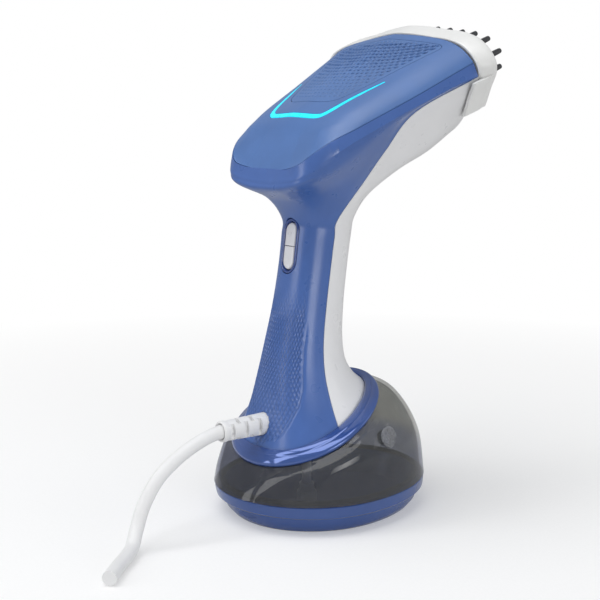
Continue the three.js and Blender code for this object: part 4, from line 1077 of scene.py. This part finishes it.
frame_ring = trim(outlet_ring(rounded(FRAME_SECTION, 3)), room)
show("outlet_frame", main_part(frame_ring), WHITE, "steamer", "nozzle_frame")
plate = shield_solid([(8.7, -7), (8.7, -3.5), (9.0, -3.15), (9.5, -3.0), (14, -3.0)])
plate = cut(plate, shield_solid([(10.4, -8), (10.4, -4.5)]))
holes = []
for down, count, pitch in HOLE_ROWS:
    for i in range(count):
        x = (i - (count - 1) / 2) * pitch
        holes.append(post(NOSE, x, -down, 1.5, -9, 0, 32))
        holes.append(loft(stacked(NOSE, [(circle(r, 32) + [x, -down], h) for r, h in HOLE_FLARE])))
plate = main_part(cut(plate, *holes))
show("outlet_plate", plate, PLATE, "steamer", "steam_plate")

# ---- brush
BRUSH_SECTION = [
    (0.3, 0.7), (1.8, 3.2), (3.4, 7), (4, 9.5), (2.8, 11.8), (-1.5, 12.6), (-10.4, 12.2),
    (-10.4, 2.2), (-2, 2.2), (-1.6, 0.7),
]
CLIP_SECTION = [(1.4, -5.8), (3.6, -5.2), (4.2, 4), (3.6, 8), (1.6, 8), (1.4, 2)]
BRUSH_LOW, CLIP_HIGH = 43.5, 35.0  # down from the crown
BRISTLE_GROW, BRISTLE_LOW, STRIP_HALF = -6.4, 33.0, 2.3
STRIP_BACK, BRISTLE_PITCH = 9.4, 9.4
BRISTLE_RINGS = [
    (1.8, 10.5), (1.72, 12.2), (1.65, 13.0), (1.6, 15), (1.52, 18), (1.45, 21), (1.38, 23.3),
    (1.28, 23.75), (1.05, 24.0), (0.6, 23.9), (0.35, 23.6),
]


def softened(section, inset):
    """A section with each corner cut back a little on both sides."""
    points = np.asarray(section, float)
    made = []
    for k, p in enumerate(points):
        for q in (points[k - 1], points[(k + 1) % len(points)]):
            reach = np.linalg.norm(q - p)
            made.append(p + (q - p) * min(inset / reach, 0.3))
    return np.array(made)


def arch_strip(grow, top):
    """The strip that holds the bristles, grown on all sides."""
    low = STRIP_BACK - grow
    inner, out = BRISTLE_GROW - STRIP_HALF - grow, BRISTLE_GROW + STRIP_HALF + grow
    strip = outlet_ring([(inner, low), (out, low), (out, top), (inner, top)])
    return trim(strip, between(0, BRISTLE_LOW + grow))


arch = trim(outlet_ring(softened(softened(BRUSH_SECTION, 0.9), 0.25)), between(0, BRUSH_LOW))
clips = trim(outlet_ring(softened(CLIP_SECTION, 0.5)), between(CLIP_HIGH, BRUSH_LOW))
brush = cut(join(arch, clips), arch_strip(GAP, 18))
show("brush_arch", main_part(brush), BRUSH_WHITE, "brush", "brush_frame")

# The bristles' feet, evenly apart on both sides of the middle one.
foot_line = outlet_points(BRISTLE_GROW, 40)
half_line = foot_line[: len(foot_line) // 2]
half_line = half_line[half_line[:, 0] < BRISTLE_LOW - 2.5]
feet = [tuple(half_line[0])]
travelled = 0.0
for a, b in zip(half_line[:-1], half_line[1:]):
    travelled += float(np.hypot(*(b - a)))
    if travelled >= BRISTLE_PITCH:
        feet += [(b[0], b[1]), (b[0], -b[1])]
        travelled = 0.0
bristles = []
for down, across in feet:
    bow = -NOSE_BOW * (across / NOSE_HALF) ** 2
    rings = [(circle(r, 20) + [across, -down], h + bow) for r, h in BRISTLE_RINGS]
    bristles.append(loft(stacked(NOSE, rings)))
strip = join(arch_strip(0, 12), merged(bristles))
show("bristle_strip", strip, BRISTLE, "brush", "brush_bristles")

# ---- cord
CORD_RADIUS = 3.5
CORD_PATH = [
    (-25.5, 0, 73), (-26, 0, 64), (-28.7, 0, 54.8), (-35, 0, 50.6), (-44, 0, 50.5), (-56, 0, 50.5),
    (-70, 0, 50.3), (-82, 0, 47.2), (-95, 0, 41), (-106, 0, 32.5), (-114, -0.5, 21.5),
    (-119.5, -2.6, 11), (-125, -8, 4.8), (-132, -15, 3.9), (-139, -21.5, 3.8), (-150, -32.5, 3.8),
]
cord_rod = sweep(CORD_PATH, CORD_RADIUS, 260, 32)
cord = show("mains_cord", cord_rod, SOFT_WHITE, "steamer", "power_cord", ride=False)
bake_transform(cord)

bore, inner_end = CORD_RADIUS + GAP, -5.2
sleeve_profile = [
    (bore, -8), (7, -8), (7, inner_end), (5.8, inner_end), (5.8, 1), (5.7, 3), (5.55, 10), (5.35, 18),
    (5.15, 22.6), (5.45, 23.0), (5.5, 23.6), (5.5, 25.0), (5.3, 25.5), (4.6, 25.7), (4.3, 25.2),
    (bore + 0.3, 24.4), (bore, 24),
]
sleeve = ring(stacked(CORD, [(circle(r, 64), h) for r, h in sleeve_profile]))
slots = []
for k in range(5):
    turn = np.eye(4)
    if k % 2:
        turn[:2, :2] = [[0, -1], [1, 0]]
    for side in (-1, 1):
        slots.append(block(CORD @ turn, side * 5.9, 0, 4.2 + 4.1 * k, 5, 9.4, 2.1))
sleeve = cut(sleeve, *slots, extruded(FOOT, circle(60, 48), -40, 1.7))
show("cord_sleeve", main_part(sleeve), SOFT_WHITE, "steamer", "cord_strain_relief")

# ---- collar
EGG_STEPS = 160


def egg_loop(rear_x, rear_z, front_x, front_z, half, widest=0.45, inset=0.0, lift=0.0):
    """A closed egg-shaped loop, widest at this share of the way from rear to front."""
    length = math.hypot(front_x - rear_x, front_z - rear_z)
    turn = 2 * math.pi * np.arange(EGG_STEPS) / EGG_STEPS
    c = np.cos(turn)
    depth = np.where(c > 0, widest * (1 - c), widest - (1 - widest) * c)
    run = inset + depth * (length - 2 * inset)
    x = rear_x + run * (front_x - rear_x) / length
    z = rear_z + run * (front_z - rear_z) / length + lift
    return np.stack([x, (half - inset) * np.sin(turn), z], 1)


COLLAR = (-52, 33, 22.5, 70.5, 43)
COLLAR_SIDE = 2.0  # height of its outer side


def handle_loop(lift):
    """The foot of the handle, a gap larger all round."""
    keys = mirrored(handle_half(HANDLE[0], GAP, lift))
    return around(keys, np.arange(EGG_STEPS) * len(keys) / EGG_STEPS)


collar_in, collar_out = handle_loop(0.9), egg_loop(*COLLAR)


def part_way(t, lift):
    """A loop on the collar's top, at a share of the way out."""
    return collar_in + t * (collar_out - collar_in) + [0, 0, lift]


rear_x, rear_z, front_x, front_z, _ = COLLAR
collar_slope = (front_z - rear_z) / (front_x - rear_x)
collar_under = handle_loop(0.0)
collar_under[:, 2] = rear_z - COLLAR_SIDE + (collar_under[:, 0] - rear_x) * collar_slope
COLLAR_TOP = [
    (0.06, 0.35), (0.16, 0.6), (0.44, 0.95), (0.5, 0.85), (0.54, 0.45), (0.6, 0.6), (0.8, 0.75),
    (0.92, 0.4), (0.98, 0),
]
COLLAR_RIM = [(-0.05, -0.6), (0.2, -1.6), (0.4, -COLLAR_SIDE)]
collar_loops = [collar_under, collar_in]
collar_loops += [part_way(t, lift) for t, lift in COLLAR_TOP]
collar_loops += [egg_loop(*COLLAR, inset=inset, lift=lift) for inset, lift in COLLAR_RIM]
show("gloss_collar", ring(collar_loops), COLLAR_BLUE, "steamer", "handle_collar", angle=50)

# ---- tank
# From the bottom up: rear x, rear z, front x, front z, half-width, where it is widest.
TANK = [
    (-63.9, 16, 56.4, 16, 51.7, 0.451),
    (-61.5, 21.5, 51, 42, 51.5, 0.45),
    (-56.5, 27.5, 36, 63, 49.5, 0.45),
    (-51.6, 30.7, 22.1, 68.2, 42.6, 0.45),
]
FLOW_X = -14  # the line that the water is drawn up along


def tank_loops(inset, top_lift, bottom_lift, rows):
    """Loops of the tank's skin drawn in, with its top and bottom moved up or down."""
    lifts = [bottom_lift, 0, 0, top_lift]
    keys = np.array([egg_loop(*loop, inset=inset, lift=lift) for loop, lift in zip(TANK, lifts)])
    return along(keys, np.linspace(0, len(TANK) - 1, rows))


PLUG_PLACE, PLUG_OUT, PLUG_RADIUS = (1, -48.1, 46.8), np.array([0.16, -0.95, 0.27]), 4.0
out = PLUG_OUT / np.linalg.norm(PLUG_OUT)
plug_across = np.cross([0, 0, 1], out)
plug_across /= np.linalg.norm(plug_across)
PLUG = frame_at(PLUG_PLACE, plug_across, np.cross(out, plug_across), out)

PLUG_PROFILE = [
    (0.05, -3.5), (3.9, -3.5), (4.0, -3.2), (4.0, 0.7), (5.3, 0.7), (5.5, 0.95), (5.5, 1.5),
    (5.2, 1.85), (4.4, 1.9), (3.9, 1.45), (0.05, 1.4),
]

tank_body = loft(tank_loops(0, 0, 0, 31))
water_room = loft(tank_loops(2, -2.2, -1, 25))
valve_bore = post(facing(FLOW_X, 0, 90), 0, 0, 9.3, 30, 70)
plug_bore = post(PLUG, 0, 0, PLUG_RADIUS + GAP, -8, 8)
tank = main_part(cut(tank_body, water_room, valve_bore, plug_bore))
show("clear_tank", tank, SMOKE, "tank", "water_tank", angle=40)
plug = loft(stacked(PLUG, [(circle(r, 48), h) for r, h in PLUG_PROFILE]))
show("tank_plug", plug, SMOKE_PLUG, "filler", "filler_plug")

# ---- base
# Loops of (rear x, front x, half-width, z).
BASE = [
    (-53.4, 48.8, 42.5, 0), (-54.1, 49.5, 43.2, 0.5), (-57.3, 51.6, 46.6, 4), (-58.6, 52.2, 47.6, 7.4),
    (-59, 52.5, 48, 8.4), (-60.2, 53.4, 49.2, 8.9), (-61.7, 54.7, 50.5, 9.4), (-62.6, 55.5, 51.2, 10.2),
    (-63.3, 56, 51.4, 13), (-63.4, 56.1, 51.5, 15.3), (-63.1, 55.8, 51.2, 15.7),
]
TRAY = [(-52, 47, 41, 3), (-56, 49.5, 45, 9), (-58.5, 51, 47, 16.5)]
base, tray = [
    loft([egg_loop(rear, z, front, z, half, 0.451) for rear, front, half, z in loops])
    for loops in (BASE, TRAY)
]
# A lens-shaped recess low on the rear.
t = np.linspace(-1, 1, 25)
upper, lower = [np.stack([6.8 * t, tall * (1 - t**2)], 1) for tall in (2.0, -1.6)]
recess_frame = frame_at((-57.6, -6.5, 6.0), (0.202, -0.979, 0), (0, 0, 1), (-0.979, -0.202, 0))
recess = extruded(recess_frame, np.concatenate([upper, lower[::-1][1:-1]]), -0.9, 9)
show("blue_base", cut(base, tray, recess), BASE_BLUE, "tank", "tank_base")

# ---- inner pieces keep their CAD shapes
INNER_LOOKS = [
    (RUBBER, "dark_rubber", ["tank_seal", "valve_seal"]),
    (TUBE, "clear_tube", ["suction_tube", "inlet_hose", "outlet_hose"]),
    (INNER, "inner_plastic", [
        "tank_valve", "suction_filter", "foot_plate", "water_inlet_pipe", "pump_body", "cord_clamp",
    ]),
    (BOARD, "circuit_board", ["light_board", "control_board"]),
    (SWITCH, "switch_black", ["upper_switch", "lower_switch"]),
    (STEEL, "steel", [
        "foot_screw_left", "foot_screw_right", "board_screw_upper", "board_screw_lower",
        "chamber_screw_left", "chamber_screw_right", "heating_element", "thermostat",
    ]),
    (COPPER, "copper_coil", ["pump_coil"]),
    (SILICONE, "red_silicone", ["plate_gasket"]),
    (CAST, "cast_metal", ["heating_chamber", "chamber_lid"]),
    (CERAMIC, "fuse_ceramic", ["thermal_fuse"]),
]
for node, material, slot in [(node, *look) for *look, nodes in INNER_LOOKS for node in nodes]:
    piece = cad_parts[node]
    piece.data.materials.clear()
    piece.data.materials.append(material)
    bevel = piece.modifiers.new("soft_edges", "BEVEL")
    bevel.width = 0.00012
    bevel.segments = 2
    bevel.limit_method = "ANGLE"
    bevel.angle_limit = math.radians(35)
    bevel.use_clamp_overlap = True
    bevel.harden_normals = False

# ---- studio
FLOOR_GLOW = 0.42  # how much light the far floor sends back to the object


def floor_material():
    """A pale floor near the object that turns into the bright backdrop further out."""
    n = new_material("pale_floor")
    away = n.add("ShaderNodeVectorMath", operation="LENGTH", Vector=n.place).outputs["Value"]
    tone = n.mixed(n.ranged(n.noise(700, 3), 0, 1), (0.93, 0.93, 0.93, 1), (0.96, 0.96, 0.96, 1))
    near = n.add("ShaderNodeBsdfDiffuse", Color=tone).outputs[0]
    seen = n.add("ShaderNodeLightPath").outputs["Is Camera Ray"]
    glow = n.ranged(seen, FLOOR_GLOW, 1.0, 0, 1)
    bright = n.add("ShaderNodeEmission", Color=(1, 1, 1, 1), Strength=glow).outputs[0]
    return n.surface(n.either(n.ranged(away, 0.3, 1, 0.1, 0.6), near, bright))


def studio_world():
    """An even light from all round, with a white backdrop that only the camera sees."""
    n = Nodes(bpy.data.worlds.new("studio"), "ShaderNodeOutputWorld")
    fill = n.add("ShaderNodeBackground", Color=(0.95, 0.97, 1.0, 1), Strength=0.42).outputs[0]
    backdrop = n.add("ShaderNodeBackground", Color=(1, 1, 1, 1), Strength=1.0).outputs[0]
    return n.surface(n.either(n.add("ShaderNodeLightPath").outputs["Is Camera Ray"], fill, backdrop))


FLOOR_RADIUS, FLOOR_DROP = 8, 0.0002  # metres; the floor lies just under the object
floor_mesh = bpy.data.meshes.new("floor")
disc = [(x, y, -FLOOR_DROP) for x, y in circle(FLOOR_RADIUS, 96).tolist()]
floor_mesh.from_pydata(disc, [], [list(range(96))])
floor_mesh.materials.append(floor_material())
put("floor", floor_mesh)
bpy.context.scene.world = studio_world()

# Name, place, target, width, height, power in watts, spread in degrees.
LIGHTS = [
    ("overhead", (-0.35, 0.0, 1.15), (0, 0, 0.1), 0.9, 0.9, 7.0, 180),
    ("left_panel", (-0.95, 0.35, 0.5), (0, 0, 0.12), 0.35, 0.9, 3.0, 180),
    ("front_panel", (0.75, -0.65, 0.45), (0, 0, 0.13), 0.5, 0.7, 0.9, 180),
    ("low_panel", (-0.1, -0.95, 0.16), (0, 0, 0.05), 0.7, 0.3, 0.3, 50),
]
for name, spot, target, width, height, power, spread in LIGHTS:
    lamp = bpy.data.lights.new(name, "AREA")
    lamp.shape = "RECTANGLE"
    lamp.size, lamp.size_y = width, height
    lamp.energy = power
    lamp.spread = math.radians(spread)
    light = put(name, lamp)
    light.location = spot
    light.rotation_euler = (Vector(target) - Vector(spot)).to_track_quat("-Z", "Y").to_euler()

# ---- camera
CAMERA_ELEVATION = math.radians(9.4)
CAMERA_DISTANCE = 0.6
CAMERA_TARGET = Vector((-0.0185, 0, 0.1133))
level = math.cos(CAMERA_ELEVATION)
look = Vector((0.6 * level, 0.8 * level, -math.sin(CAMERA_ELEVATION)))
camera_data = bpy.data.cameras.new("camera")
camera_data.sensor_width = 36
camera_data.lens = 68.64
camera_data.clip_start = 0.01
camera_data.clip_end = 50
camera = put("camera", camera_data)
camera.location = CAMERA_TARGET - CAMERA_DISTANCE * look
camera.rotation_euler = look.to_track_quat("-Z", "Y").to_euler()
bpy.context.scene.camera = camera
bpy.context.scene.view_settings.view_transform = "Standard"
